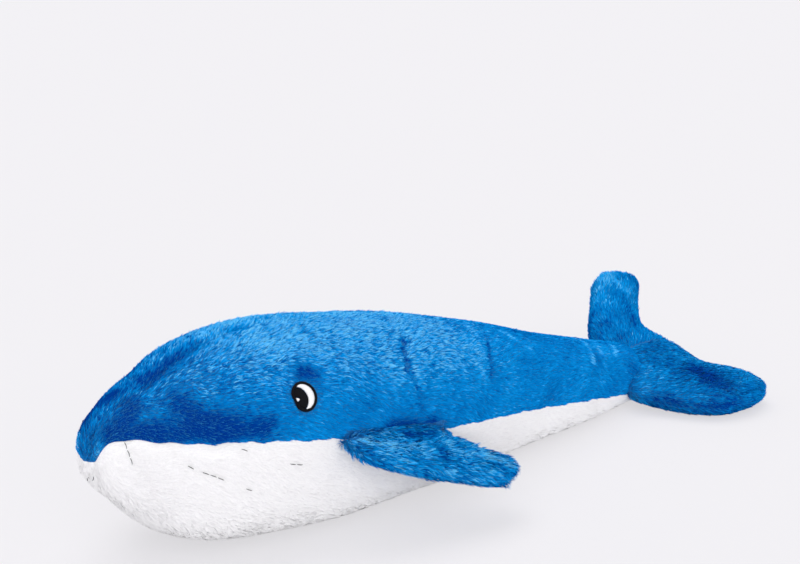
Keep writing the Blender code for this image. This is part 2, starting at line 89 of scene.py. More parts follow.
# The body's stations: share of its length, then top, underside and side seam as shares of the height,
# width as a share of the width, and how square the underside is, where 2 is an ellipse
BODY_STATION_SHARES = (
    (0.000, 0.600, 0.490, 0.557, 0.13, 2.2),
    (0.030, 0.764, 0.320, 0.664, 0.43, 2.2),
    (0.085, 0.852, 0.135, 0.646, 0.71, 2.2),
    (0.167, 0.965, 0.025, 0.620, 0.93, 2.2),
    (0.273, 1.003, 0.000, 0.551, 1.00, 2.5),
    (0.400, 0.945, 0.000, 0.450, 0.95, 3.1),
    (0.525, 0.853, 0.000, 0.375, 0.84, 3.4),
    (0.683, 0.693, 0.000, 0.289, 0.67, 3.2),
    (0.840, 0.505, 0.000, 0.190, 0.50, 3.0),
    (0.960, 0.382, 0.005, 0.105, 0.35, 2.8),
    (1.050, 0.300, 0.030, 0.085, 0.28, 2.6),
)
TOP, UNDERSIDE, SEAM, WIDTH, SQUARENESS = range(1, 6)
BACK_ROUNDNESS = 2.25
WIDEST_SHARE = 0.47
BODY_END_SHARE = 0.985
LEAST_REACH = 0.4 * MM
BODY_CORE_HEIGHT = 50 * MM

# The fins' stations from the root: front edge along and out, back edge along and out, and thickness
FIN_STATION_SHARES = (
    (-0.72, 0.00, 0.66, 0.00, 0.80),
    (-0.64, 0.18, 0.78, 0.17, 1.00),
    (-0.34, 0.47, 0.86, 0.35, 1.00),
    (0.05, 0.71, 0.98, 0.46, 0.97),
    (0.40, 0.90, 1.07, 0.57, 0.95),
    (0.70, 0.99, 1.04, 0.74, 0.84),
)
# The flukes' stations from the middle: share of the half span, front and back edge as shares of the length,
# thickness as a share, and the slope in degrees at which the lobe reaches it
LEFT_LOBE_SHARES = (
    (0.00, -0.22, 0.80, 1.00, -22),
    (0.28, -0.34, 0.92, 1.12, -26),
    (0.52, -0.18, 1.10, 1.12, -11),
    (0.74, 0.00, 1.09, 1.05, -2),
    (0.88, 0.15, 1.02, 0.88, 1),
    (0.95, 0.34, 0.86, 0.56, 2),
)
RIGHT_LOBE_SHARES = (
    (0.00, -0.19, 0.83, 1.00, 22),
    (0.28, -0.15, 0.66, 1.00, 22),
    (0.53, 0.07, 0.87, 1.00, 27),
    (0.76, 0.36, 1.16, 0.96, 30),
    (0.85, 0.49, 1.18, 0.94, 31),
    (0.90, 0.54, 1.08, 0.86, 32),
    (0.93, 0.60, 0.99, 0.74, 32),
    (0.95, 0.67, 0.91, 0.60, 32),
)

# Throat pleats: each row's points as a share of the body's length and a share of a right angle above its
# side, and the stretches of the row where the thread shows between the pile
PLEAT_ROWS = (
    (((0.028, 0.42), (0.0295, 0.24), (0.034, 0.02), (0.048, -0.26)), ((0.05, 0.24), (0.30, 0.34))),
    (
        ((0.068, 0.36), (0.084, 0.16), (0.115, 0.045), (0.165, -0.10), (0.245, -0.235), (0.335, -0.355)),
        ((0.12, 0.145), (0.19, 0.30), (0.39, 0.43)),
    ),
    (
        ((0.122, 0.26), (0.149, 0.19), (0.194, 0.06), (0.245, -0.02), (0.292, -0.07)),
        ((0.18, 0.24), (0.56, 0.66)),
    ),
)
MIDDLE_PLEAT_ROW = (((0.0003, -0.35), (0.002, -0.64), (0.009, -0.88), (0.036, -1.0)), ((0.0, 0.12),))

# Places where the blue is painted darker (below 0) or lighter: painted shade and light where the nap lies
# another way and looks darker or lighter, painted shade in the dent over the eye and in the valley by the
# fin, and a painted sheen and painted highlights on the upper back, on fold ridges and on the nose tip.
# Points as a share of the length and a height in millimetres, reach in millimetres and strength. None is felt
# beyond a span.
BODY_PAINTED_SHADE_AND_LIGHT = (
    (((0.050, 87), (0.030, 80), (0.018, 75.5), (0.045, 78)), 7.5, -0.52),
    (((0.085, 93.5), (0.101, 96.5), (0.117, 99.5)), 6.5, -0.46),
    (((0.139, 101.5),), 5, -0.14),
    (((0.094, 89), (0.103, 83), (0.125, 80)), 9, -0.42),
    (((0.065, 76), (0.107, 77), (0.141, 76), (0.176, 76)), 7, -0.36),
    (((0.138, 103), (0.165, 107)), 5.5, -0.34),
    (((0.224, 110), (0.238, 111)), 5, -0.34),
    (((0.191, 104),), 5, -0.16),
    # Painted shade in the dent over the eye, where the pile parts
    (((0.257, 96), (0.266, 95)), 6.5, -0.62),
    (((0.458, 99),), 4, -0.22),
    # Painted shade in the valley between the back and the fin
    (((0.375, 58), (0.400, 55), (0.460, 49)), 6, -0.40),
    # Painted light on the nose tip, which faces away from the light
    (((0.0015, 64), (0.003, 67)), 3.5, 0.35),
    (((0.070, 95), (0.070, 87)), 4, 0.10),
    # Painted sheen along the upper back
    (((0.20, 106), (0.33, 105), (0.44, 101), (0.52, 94)), 16, 0.15),
    # These six: painted highlights on the ridge beside a crease and on the tail's folds
    (((0.4535, 90), (0.444, 81), (0.446, 71)), 1.7, 0.26),
    (((0.679, 74.7), (0.713, 64.3)), 2.5, 0.22),
    (((0.700, 74), (0.735, 64)), 2.0, 0.18),
    (((0.878, 51), (0.870, 47), (0.856, 43)), 2.2, 0.42),
    (((0.944, 42), (0.932, 39)), 2.2, 0.40),
    (((0.905, 48), (0.893, 44)), 2.0, 0.25),
    (((0.885, 50), (0.870, 44)), 2.5, -0.08),
    (((0.965, 30), (0.975, 22)), 4, -0.20),
)
PATCH_SPAN = 100 * MM
# Creases in the back: points as before, and how deep in millimetres
BODY_CREASES = (
    (((0.459, 94), (0.443, 89), (0.432, 82.5)), 2.6),
    (((0.434, 80), (0.438, 70), (0.436, 61)), 0.7),
    (((0.622, 76), (0.607, 70), (0.597, 61)), 1.1),
    (((0.868, 49), (0.880, 41)), 0.5),
)
# Dents in the back: a point as before, depth and reach in millimetres
BODY_DENTS = (((0.262, 95), 2.2, 6), ((0.108, 88), 1.0, 8), ((0.040, 81), 0.8, 8))
# Places painted darker and lighter on the flukes: darker spots on the far lobe, painted shade on the near
# lobe, which faces away from the light, and under its front seam, and painted light over the far lobe and a
# painted highlight on the near lobe's upper edge. Points in millimetres, reach in millimetres and strength
FLUKE_PAINTED_SHADE_AND_LIGHT = (
    (((198, -38, 24), (192, -54, 23), (190, -62, 21)), 9, -0.36),
    (((204, 45, 58), (200, 23, 46)), 6, -0.28),
    (((173, 23, 43),), 5, -0.22),
    (((161, -34, 11), (172, -54, 9.5), (190, -74, 11)), 5, -0.34),
    (((200, 50, 60), (215, 62, 72)), 26, 0.22),
    (((165, -24, 20), (178, -8, 32)), 8, 0.08),
)
# Places painted darker and lighter on the left fin, and mirrored on the right one, given as on the flukes:
# painted highlights on its upper ridge and hump, and painted shade where it meets the body, in a fold and on
# its lower side
FIN_PAINTED_SHADE_AND_LIGHT = (
    (((-106, -60, 58), (-92, -68, 56), (-79, -72, 52.5), (-71, -76, 49.5)), 3.5, 0.34),
    (((-75, -62, 55), (-57, -62, 50)), 4, -0.50),
    (((-61, -75, 47.5), (-66, -82, 45)), 3.5, -0.46),
    (((-53, -70, 46), (-51, -79, 43.5), (-31, -80.5, 36.5), (-23, -86, 32)), 4, 0.32),
    (((-97, -84.5, 47), (-68, -91, 38)), 8, -0.06),
    (((-30, -92, 32),), 6, -0.14),
)

# How the skins are closed: each row shrinks about its middle and moves on by millimetres
NOSE_ROUNDING = ((0.02, -1.6), (0.35, -1.4), (0.65, -1.0), (0.87, -0.4))
TAIL_ROUNDING = ((0.98, 1.2), (0.92, 2.2), (0.80, 2.9), (0.62, 3.2), (0.40, 3.2), (0.02, 3.2))
LOBE_ROUNDING = ((0.93, 1.0), (0.78, 2.2), (0.55, 3.2), (0.30, 3.8), (0.02, 4.0))
FIN_ROUNDING = ((0.95, 0.4), (0.85, 0.9), (0.66, 1.4), (0.40, 1.8), (0.02, 1.9))

# Rows and columns of the skins' points
BODY_ROWS, BACK_COLUMNS, BELLY_COLUMNS = 150, 70, 120
FIN_ROWS, FIN_COLUMNS = 60, 64
LOBE_ROWS, LOBE_COLUMNS = 120, 72

# The skins lie this far inside the outside of the pile
BLUE_INSET = 1.4 * MM
WHITE_INSET = 1.3 * MM
FIN_INSET = 2.2 * MM
FLUKE_INSET = 1.6 * MM
SKIN_ABOVE_FLOOR = 1.0 * MM
PILE_ABOVE_FLOOR = 0.15 * MM

# Under the nose the seam is sewn askew, by a height and a share of the length: tilted at its tip, sagging on
# the right and arched on the left. Two waves run along it, by radians over the whole length.
NOSE_SEAM_TILT = (3 * MM, 0.012)
NOSE_SEAM_SAG = (5 * MM, 0.007)
NOSE_SEAM_ARCH = (1.2 * MM, 0.012)
SEAM_WAVE = 0.35 * MM
SEAM_WAVES = (97, 211)

# Seams draw the skin in, and the pile beside them is shorter and lies along them, fully so behind the
# second of two shares of the length
SEAM_DIP = 0.6 * MM
EDGE_DIP = 0.9 * MM
SEAM_REACH = 2.6 * MM
SEAM_NAP_REACH = 3.5 * MM
SEAM_NAP_SHARES = (0.0, 0.05)
BLUE_ALONG_SEAM = 0.8
SHORTER_AT_SEAM = 0.35
# The flukes' pile is painted darker along the seam round their edge, by a strength within a reach: painted
# shade
EDGE_PAINTED_SHADE = 0.12
EDGE_PAINTED_SHADE_REACH = 1.8 * MM

# Lumps of the filling: height and size, and for the body a seed and how many waves make them
BODY_LUMPS = (0.5 * MM, 46 * MM, 11, 9)
PILLOW_LUMPS = (0.4 * MM, 22 * MM)
FIN_LUMP_SEED = 61
FLUKE_LUMP_SEED = 63

# A crease or a pleat is a sharp dent and a wide one, by depth and reach, and its pile is painted darker as
# painted shade in its groove. A crease's depths are shares of its own, and one of the full depth in
# millimetres has all of the painted shade, the parting and the shortening.
CREASE_DENTS = ((1.0, 1.8 * MM), (0.4, 6 * MM))
PLEAT_DENTS = ((0.5 * MM, 1.8 * MM), (0.9 * MM, 6 * MM))
CREASE_REACH = 2.4 * MM
CREASE_PAINTED_SHADE = -0.60
CREASE_PARTING = 0.5
CREASE_SHORTER = 0.4
FULL_CREASE_DEPTH = 2
PLEAT_REACH = 2.0 * MM
PLEAT_PAINTED_SHADE = -0.10
PLEAT_PARTING = 0.8
PLEAT_SHORTER = 0.25

# Nap on each piece, its base shade, and the shade and the wandering of its nap as rows of soft noise: size in
# millimetres, seed and strength
BACK_NAP, BACK_SHADE, BACK_MOTTLE = (1, 0.25, -0.38), 0.52, ((34, 41, 0.05), (11, 43, 0.05))
BACK_WANDER = ((60, 31, 0.45), (17, 32, 0.30))
BELLY_NAP, BELLY_SHADE, BELLY_MOTTLE = (1, 0.1, -0.22), 0.62, ((20, 45, 0.06),)
BELLY_WANDER = ((50, 35, 0.3), (15, 36, 0.25))
FIN_NAP, FIN_SHADE, FIN_MOTTLE = (0.75, 0.62), 0.56, ((24, 91, 0.06), (8, 93, 0.08))
FIN_WANDER = ((30, 81, 0.35), (9, 82, 0.3))
FLUKE_NAP, FLUKE_SHADE, FLUKE_MOTTLE = (0.8, 0.7, 0.15), 0.46, ((28, 95, 0.12), (9, 97, 0.08))
FLUKE_WANDER = ((34, 85, 0.4), (10, 86, 0.3))
# The nap turns up over the nose, within a share of the length
NOSE_NAP = (1.3, 0.03)
# The upper back is painted lighter, as a painted sheen where the light falls on it, and is rougher, between
# these shares of its height and ahead of these of its length
HIGH_SHARES = (0.25, 0.85)
AHEAD_SHARES = (0.50, 0.72)
PAST_SNOUT_SHARES = (0.08, 0.25)
HIGH_PAINTED_SHEEN = 0.18
BACK_ROUGHNESS = (0.40, 0.60)
SNOUT_ROUGHNESS, SNOUT_SHARE = 0.35, 0.2
# Seeds of the roots and of the strands
BACK_SEEDS = (21, 51)
BELLY_SEEDS = (25, 59)
FIN_SEEDS = (71, 101)
FLUKE_SEEDS = (75, 105)

# How unlike the strands are: spread of each measure by tuft and by strand, and ranges
YAW_SPREAD = (0.20, 0.12)
LIFT_SPREAD = (0.09, 0.06)
LENGTH_SPREAD = (0.10, 0.0)
SHADE_SPREAD = (0.15, 0.22)
FACING_SPREAD = 0.12
LENGTH_RANGE = (0.78, 1.1)
WIDTH_RANGE = (0.75, 1.15)
TWIST_RANGE = (-0.9, 0.9)
SHADE_LIMITS = (0.01, 0.99)
LEAN_LIMITS = ((0.15, 1.45), (-0.1, 1.3))
TIP_LIFT = 1.4
GATHERED = (0.10, 0.30)
FIN_GATHERED = (0.15, 0.4)
# A strand is three rows of points: at its root, which is sunk in the skin, at its bend and at its tip
ROOT_DEPTH = 0.4 * MM
BEND_SHARE = 0.45
HALF_WIDTHS = (0.5, 0.42)
SHADE_EDGE = 0.004
UP_THE_STRAND = (0.02, 0.5, 0.98)
TUFT_FACING, STRAND_FACING = 0.62, 0.38

# Eyes: where their lower front is cut flat, and the pupil and glint as width, height, how far forward and
# down, and growth, in millimetres
EYE_FLAT_OUT = 6.6 * MM
EYE_FLAT_TURN_DEG = 189
PUPIL_OVAL = (11.5, 13.0, 4.0, 0.7, 0)
GLINT_OVAL = (2.5, 2.0, 4.7, 0.8, 0)
WHITE_UNDER_RIM = 0.85
PUPIL_GAP = 0.12 * MM
GLINT_GAP = 0.05 * MM
# How the pile makes room for an eye: how deep the eye reaches, the gap round it, how short the pile is at its
# rim, how far that goes behind it, in millimetres, and how much farther it goes before it
EYE_DEPTH = 15 * MM
PILE_GAP = 0.1 * MM
SHORTEST_PILE = 0.30
SHORT_PILE_REACH = (2.0, 4.0)
# Satin stitches: slope of each field in degrees, seed, and the sizes that a stitch is made by
WHITE_FIELD, PUPIL_FIELD, GLINT_FIELD = (8, 3), (82, 4), (80, 5)
STITCH_SAMPLING = 0.1 * MM
SHORTEST_STITCH = 0.35 * MM
STITCH_STEP = 1.1 * MM
STITCH_JITTER = 0.06 * MM
FIELD_ARCH = (-0.35, 0.45)
RIM_ARCH = (-0.25, 0.50)
THREAD_SIDES = 6
THREAD_END = 0.45

# Pleat stitches: how far apart they start, which share of that each one takes up, their thread, and how
# deep it lies where it shows and where it doesn't
PLEAT_STITCH_STEP = 4.2 * MM
PLEAT_STITCH_SPAN = (0.08, 0.80)
PLEAT_THREAD = 0.4 * MM
PLEAT_SHOWN_DEPTH = -0.7 * MM
PLEAT_SUNK_DEPTH = -6.5 * MM
PLEAT_ARCH = 0.5 * MM
PLEAT_POINTS = 7
PLEAT_TAPER = 0.12

# Wide soft lamps: name, the side that each shines from, its spread in degrees and its strength
LAMPS = (
    ("low_fill", (-1.0, -1.3, 0.05), 50, 0.24),
    ("front_softbox", (-1.0, -1.5, 1.1), 60, 0.32),
    ("overhead_softbox", (0.1, 0.5, 1.6), 50, 0.41),
)
WORLD_STRENGTH = 0.72
FLOOR_GLOW = 0.72


def a_length(name, about, value):
    return FloatProperty(name=name, description=about, default=value, unit="LENGTH")


def an_angle(name, about, degrees):
    return FloatProperty(name=name, description=about, default=math.radians(degrees), subtype="ANGLE")


def a_share(name, about, value):
    return FloatProperty(name=name, description=about, default=value, subtype="FACTOR")


def a_colour(name, about, value):
    return FloatVectorProperty(name=name, description=about, default=value, subtype="COLOR")


class WhaleFormSettings(PropertyGroup):
    """Sizes of the stuffed form, as in the frame."""

    body_length: a_length("Body length", "From the nose to the line where the flukes turn", 400 * MM)
    body_height: a_length("Body height", "Height of the stations' whole share", 112 * MM)
    body_width: a_length("Body width", "Width over the pile at the widest station", 117 * MM)
    flat_depth: a_length("Flat depth", "How deep the belly is pressed flat", 0.5 * MM)
    fin_reach: a_length("Fin reach", "From a fin's root to its tip, away from the body", 40 * MM)
    fin_sweep: a_length("Fin sweep", "From a fin's root to its tip, along the body", 62 * MM)
    fin_thickness: a_length("Fin thickness", "Thickness of a fin over its pile", 14 * MM)
    fin_droop: an_angle("Fin droop", "How far a fin hangs below level", 24.5)
    fluke_span: a_length("Fluke span", "Across both lobes, measured along them", 158 * MM)
    fluke_length: a_length(
        "Fluke length", "From the line that the flukes turn about to the back of their tips", 62 * MM
    )
    fluke_thickness: a_length("Fluke thickness", "Thickness of a lobe over its pile", 23 * MM)


class WhalePileSettings(PropertyGroup):
    """The pile: how long, how dense and how it lies."""

    blue_length: a_length("Blue pile length", "Length of a strand on the back", 3.7 * MM)
    white_length: a_length("White pile length", "Length of a strand on the belly", 3.4 * MM)
    fin_length: a_length("Fin pile length", "Length of a strand on the fins", 5.0 * MM)
    fluke_length: a_length("Fluke pile length", "Length of a strand on the flukes", 3.9 * MM)
    strand_width: a_length("Strand width", "Width of a strand at its root", 0.42 * MM)
    blue_density: IntProperty(
        name="Blue density", description="Strands on each square centimetre of blue pile", default=250
    )
    white_density: IntProperty(
        name="White density", description="Strands on each square centimetre of white pile", default=170
    )
    root_lean: an_angle("Lean at the root", "Angle between a strand and the skin where it leaves it", 34)
    tip_lean: an_angle("Lean at the tip", "Angle between a strand and the skin at its tip", 9)
    tuft_size: a_length("Tuft size", "Distance between the tufts that the strands gather in", 1.5 * MM)


class WhaleEyeSettings(PropertyGroup):
    """The embroidered eyes."""

    along: a_share("Place along the body", "Share of the body's length", 0.248)
    up: a_share("Height", "Share of the body's height", 0.766)
    width: a_length("Width", "Width of an eye over its rim", 15 * MM)
    height: a_length("Eye height", "Height of an eye over its rim", 16 * MM)
    rim: a_length("Rim", "Width of the black rim", 1.6 * MM)
    thread: a_length("Thread", "Diameter of the embroidery thread", 0.5 * MM)
    stitch_spacing: a_length("Stitch spacing", "Distance between two stitches of a field", 0.36 * MM)


class WhaleColourSettings(PropertyGroup):
    """Colours of the pile and of the thread."""

    # The blue pile is one blue painted darker and lighter: painted shade where the pile is looked into,
    # painted light where it lies to the light and painted highlights on tips that catch it. Shaded white is
    # painted shade on the white pile and its ground.
    shaded_pile_colour: a_colour("Deep blue", "Pile that is looked into", (0.0003, 0.050, 0.34))
    blue: a_colour("Blue", "Pile seen from its side", (0.001, 0.245, 0.69))
    lit_pile_colour: a_colour("Bright blue", "Pile that lies to the light", (0.006, 0.40, 0.95))
    tip_highlight_colour: a_colour("Light blue", "Tips that catch the light", (0.15, 0.62, 1.0))
    white: a_colour("White", "Tips of the white pile", (0.92, 0.915, 0.92))
    shaded_white: a_colour("Shaded white", "Roots of the white pile", (0.85, 0.845, 0.86))
    black_thread: a_colour("Black thread", "Rim and pupil", (0.006, 0.006, 0.008))
    white_thread: a_colour("White thread", "White and glint of the eyes", (0.93, 0.93, 0.94))
    grey_thread: a_colour("Grey thread", "Stitches of the pleats", (0.05, 0.05, 0.055))


class WhaleStageSettings(PropertyGroup):
    """Camera, floor and light."""

    camera_place: FloatVectorProperty(
        name="Camera",
        description="Where the photograph was taken from",
        default=(-0.58988, -0.66805, 0.36638),
        subtype="TRANSLATION",
    )
    camera_pitch: an_angle("Camera pitch", "How far the camera looks down", 16)
    camera_yaw: an_angle("Camera yaw", "How far the camera is turned", 40.19)
    camera_lens: FloatProperty(
        name="Lens", description="Focal length on a 36 mm sensor, in millimetres", default=72.0
    )
    floor_colour: a_colour("Floor", "Colour of the floor and of the backdrop", (0.85, 0.84, 0.865))
    floor_size: a_length("Floor size", "Side of the floor", 14.0)


# Shapes from stations


def through_stations(rows, column, at):
    """A column of the stations at any place, on a smooth curve through them."""
    places, values = rows[:, 0], rows[:, column]
    last = len(places) - 1
    b = np.clip(np.searchsorted(places, at, side="right") - 1, 0, last - 1)
    a, c, d = np.maximum(b - 1, 0), b + 1, np.minimum(b + 2, last)
    step = places[c] - places[b]
    t = np.clip((at - places[b]) / step, 0, 1)
    slope_b = step * (values[c] - values[a]) / (places[c] - places[a])
    slope_c = step * (values[d] - values[b]) / (places[d] - places[b])
    return (
        (2 * t**3 - 3 * t**2 + 1) * values[b]
        + (t**3 - 2 * t**2 + t) * slope_b
        + (3 * t**2 - 2 * t**3) * values[c]
        + (t**3 - t**2) * slope_c
    )


@functools.cache
def body_stations():
    """The body's stations placed by the root of their share, which rounds the nose."""
    rows = np.array(BODY_STATION_SHARES)
    rows[:, 0] = np.sqrt(rows[:, 0])
    return rows


def body_column(column, share):
    """A column of the body's stations at a share of its length."""
    place = np.sqrt(np.clip(share, 0, BODY_STATION_SHARES[-1][0]))
    return through_stations(body_stations(), column, place)


def nose_x():
    """Where the nose is along X, with the whale's middle at 0."""
    form = bpy.context.scene.whale_form
    return -(form.body_length + form.fluke_length) / 2


def body_x(share):
    return share * bpy.context.scene.whale_form.body_length + nose_x()


def body_share(x):
    return (x - nose_x()) / bpy.context.scene.whale_form.body_length


def hump(share, place):
    """0 at the nose, 1 at a place behind it and fading to 0 again."""
    return share / place * np.exp(1 - share / place)


def seam_height(share, side=-1):
    """Height of the seam between the back and the belly, which is sewn askew under the nose."""
    form = bpy.context.scene.whale_form
    tilt, tilt_share = NOSE_SEAM_TILT
    sag, sag_share = NOSE_SEAM_SAG
    arch, arch_share = NOSE_SEAM_ARCH
    if side > 0:
        askew = tilt * np.exp(-share / tilt_share) + sag * hump(share, sag_share)
    else:
        askew = -arch * hump(share, arch_share)
    few, many = SEAM_WAVES
    wavy = SEAM_WAVE * (np.sin(share * few) + np.sin(share * many + side))
    return body_column(SEAM, share) * form.body_height - form.flat_depth - askew + wavy


def body_section(share, inset):
    """Half width, middle height, and the reach above and below it, of the body at a share."""
    form = bpy.context.scene.whale_form
    half = body_column(WIDTH, share) * form.body_width / 2 - inset
    top = body_column(TOP, share) * form.body_height - inset - form.flat_depth
    bottom = body_column(UNDERSIDE, share) * form.body_height + inset - form.flat_depth
    middle = bottom + WIDEST_SHARE * (top - bottom)
    half, above, below = (np.maximum(v, LEAST_REACH) for v in (half, top - middle, middle - bottom))
    return half, middle, above, below


def oval_sum(across, up, half, reach, power):
    """1 on an oval of a half width and a reach upwards, less inside it and more outside it."""
    return np.abs(across / half) ** power + np.abs(up / reach) ** power


def up_or_down(share, up, above, below):
    """Reach and squareness of the body's section on the way up or down from its middle."""
    squareness = body_column(SQUARENESS, share)
    return np.where(up >= 0, above, below), np.where(up >= 0, BACK_ROUNDNESS, squareness)


def body_points(share, angle, inset=0.0):
    """Points of the body at a share of its length and an angle from +Y towards its top."""
    half, middle, above, below = body_section(share, inset)
    across, up = np.cos(angle), np.sin(angle)
    reach, power = up_or_down(share, up, above, below)
    radius = oval_sum(across, up, half, reach, power) ** (-1 / power)
    x = body_x(share) + inset * (1 - share)
    return np.stack([x + 0 * angle, radius * across, middle + radius * up], axis=-1)


def body_depth(points, inset=0.0):
    """Below 0 inside the body and above 0 outside it, in shares of its section."""
    share = body_share(points[..., 0])
    half, middle, above, below = body_section(share, inset)
    up = points[..., 2] - middle
    reach, power = up_or_down(share, up, above, below)
    return oval_sum(points[..., 1], up, half, reach, power) ** (1 / power) - 1


def angle_at(share, height, inset):
    """Angle, as if on the +Y side, at which the body crosses a height."""
    low, high = -math.pi / 2 + 0 * share, math.pi / 2 + 0 * share
    for _ in range(30):
        middle = (low + high) / 2
        above = body_points(share, middle, inset)[..., 2] > height
        low, high = np.where(above, low, middle), np.where(above, middle, high)
    return (low + high) / 2


def on_side(share, height, side, inset=0.0):
    """Points of the body at a share of its length and a height, on one side."""
    points = body_points(share, angle_at(share, height, inset), inset)
    points[..., 1] *= side
    return points


def seam_angle(share, inset, side):
    """Angle, as if on the +Y side, at which the body crosses its side seam."""
    return angle_at(share, seam_height(share, side), inset)


def seam_row(side):
    """Points along the seam between the back and the belly, on one side."""
    share = np.linspace(0, 1, 50) ** 2 * BODY_END_SHARE
    return on_side(share, seam_height(share, side), side, BLUE_INSET)


def surface_row(spots, side):
    """Points of the back on one side, from shares of the length and heights in millimetres."""
    share, height = np.array(spots, float).T
    return on_side(share, height * MM, side, BLUE_INSET)


def pleat_line(row, side, steps=40):
    """Points of a pleat on the body's outer surface."""
    row = np.array([(number, *point) for number, point in enumerate(row)], float)
    at = np.linspace(0, len(row) - 1, steps)
    share, turn = through_stations(row, 1, at), through_stations(row, 2, at)
    points = body_points(share, turn * math.pi / 2)
    points[:, 1] *= side
    return points


def smooth_step(low, high, values):
    t = np.clip((values - low) / (high - low), 0, 1)
    return t * t * (3 - 2 * t)


def fade(distance, reach):
    """1 at a place, fading to 0 past its reach."""
    return np.exp(-((distance / reach) ** 2))


def unit(vectors):
    return vectors / np.maximum(np.linalg.norm(vectors, axis=-1, keepdims=True), 1e-12)


# Noise and meshes


def soft_noise(points, size, seed, waves=7):
    """Smooth noise of about -1 to 1 with features of a size."""
    rng = np.random.default_rng(seed)
    total = np.zeros(points.shape[:-1])
    for _ in range(waves):
        wave = unit(rng.normal(size=3)) * (math.tau / size) * rng.uniform(0.35, 0.75)
        total += np.sin(points @ wave + rng.uniform(0, math.tau))
    return total / math.sqrt(waves) / 1.2


def mottle(points, rows):
    """Soft noise at points, from rows of size in millimetres, seed and strength."""
    return sum(soft_noise(points, size * MM, seed) * strength for size, seed, strength in rows)


def add_mesh(name, points, faces, uvs=None, normals=None):
    """A mesh object from points and a list of face arrays, each of one corner count."""
    mesh = bpy.data.meshes.new(name)
    corners = np.concatenate([block.ravel() for block in faces]).astype(np.int32)
    counts = np.concatenate([np.full(len(block), block.shape[1]) for block in faces])
    starts = np.concatenate([[0], np.cumsum(counts)[:-1]]).astype(np.int32)
    mesh.vertices.add(len(points))
    mesh.vertices.foreach_set("co", points.astype(np.float32).ravel())
    mesh.loops.add(len(corners))
    mesh.loops.foreach_set("vertex_index", corners)
    mesh.polygons.add(len(counts))
    mesh.polygons.foreach_set("loop_start", starts)
    mesh.polygons.foreach_set("use_smooth", np.ones(len(counts), bool))
    if uvs is not None:
        layer = mesh.uv_layers.new(name="OFBake")
        layer.uv.foreach_set("vector", uvs[corners].astype(np.float32).ravel())
    mesh.update(calc_edges=True)
    mesh.validate()
    if normals is not None:
        mesh.normals_split_custom_set_from_vertices(normals)
    obj = bpy.data.objects.new(name, mesh)
    bpy.context.scene.collection.objects.link(obj)
    return obj


def grid_faces(rows, columns, closed=False):
    """Quads of a grid of points in rows, joined round its columns when closed."""
    index = np.arange(rows * columns).reshape(rows, columns)
    if closed:
        index = np.concatenate([index, index[:, :1]], axis=1)
    quads = [index[:-1, :-1], index[:-1, 1:], index[1:, 1:], index[1:, :-1]]
    return np.stack(quads, axis=-1).reshape(-1, 4)


def grid_uvs(rows, columns):
    u, v = np.meshgrid(np.linspace(0, 1, columns), np.linspace(0, 1, rows))
    return np.stack([u, v], axis=-1).reshape(-1, 2)


def grid_normals(points, faces):
    """Normals at the points of quads."""
    a, b, c, d = (points[faces[:, k]] for k in range(4))
    flat = np.cross(c - a, d - b)
    total = np.zeros_like(points)
    for k in range(4):
        np.add.at(total, faces[:, k], flat)
    return unit(total)


def near_rows(points, rows):
    """How far each point is from the nearest of some open rows, and the ways away from it and along it."""
    best = np.full(len(points), np.inf)
    away, along = np.zeros_like(points), np.zeros_like(points)
    for row in rows:
        for start, end in zip(row[:-1], row[1:]) if len(row) > 1 else ((row[0], row[0]),):
            step = end - start
            t = np.clip((points - start) @ step / max(step @ step, 1e-12), 0, 1)
            gap = points - (start + t[:, None] * step)
            distance = np.linalg.norm(gap, axis=1)
            closer = distance < best
            best = np.where(closer, distance, best)
            away = np.where(closer[:, None], gap, away)
            along = np.where(closer[:, None], step, along)
    return best, unit(away), unit(along)


# Materials


def set_inputs(node, values):
    for name, value in values.items():
        node.inputs[name].default_value = value


def new_material(name, values):
    """A material, its node tree and its shader, with values set on the shader's sockets."""
    made = bpy.data.materials.new(name)
    made.use_nodes = True
    shader = made.node_tree.nodes["Principled BSDF"]
    set_inputs(shader, values)
    return made, made.node_tree, shader


def add_ramp(tree, source, stops):
    """A colour ramp of (place, colour) stops, fed by a value."""
    ramp = tree.nodes.new("ShaderNodeValToRGB")
    ramp.color_ramp.interpolation = "EASE"
    while len(ramp.color_ramp.elements) < len(stops):
        ramp.color_ramp.elements.new(0.5)
    for element, (place, colour) in zip(ramp.color_ramp.elements, stops):
        element.position = place
        element.color = (*colour, 1.0)
    tree.links.new(source, ramp.inputs["Fac"])
    return ramp.outputs["Color"]


def pile_material(name, shades, painted_root_shades, roughness, sheen):
    """Pile with painted shade towards its roots, for the shade deep in the pile.
    U is a strand's shade, and V runs from its root to its tip.
    """
    tint = (*shades[-2][1], 1.0)
    values = {
        "Roughness": roughness,
        "Specular IOR Level": 0.0,
        "Specular Tint": tint,
        "Sheen Weight": sheen,
        "Sheen Roughness": 0.4,
        "Sheen Tint": tint,
    }
    made, tree, shader = new_material(name, values)
    place = tree.nodes.new("ShaderNodeUVMap")
    place.uv_map = "OFBake"
    split = tree.nodes.new("ShaderNodeSeparateXYZ")
    tree.links.new(place.outputs["UV"], split.inputs["Vector"])
    shade = add_ramp(tree, split.outputs["X"], shades)
    root, middle = painted_root_shades
    grow = add_ramp(tree, split.outputs["Y"], ((0.0, root), (0.45, middle), (1.0, (1.0,) * 3)))
    mix = tree.nodes.new("ShaderNodeMix")
    mix.data_type = "RGBA"
    mix.blend_type = "MULTIPLY"
    mix.inputs["Factor"].default_value = 1.0
    tree.links.new(shade, mix.inputs["A"])
    tree.links.new(grow, mix.inputs["B"])
    tree.links.new(mix.outputs["Result"], shader.inputs["Base Color"])
    return made


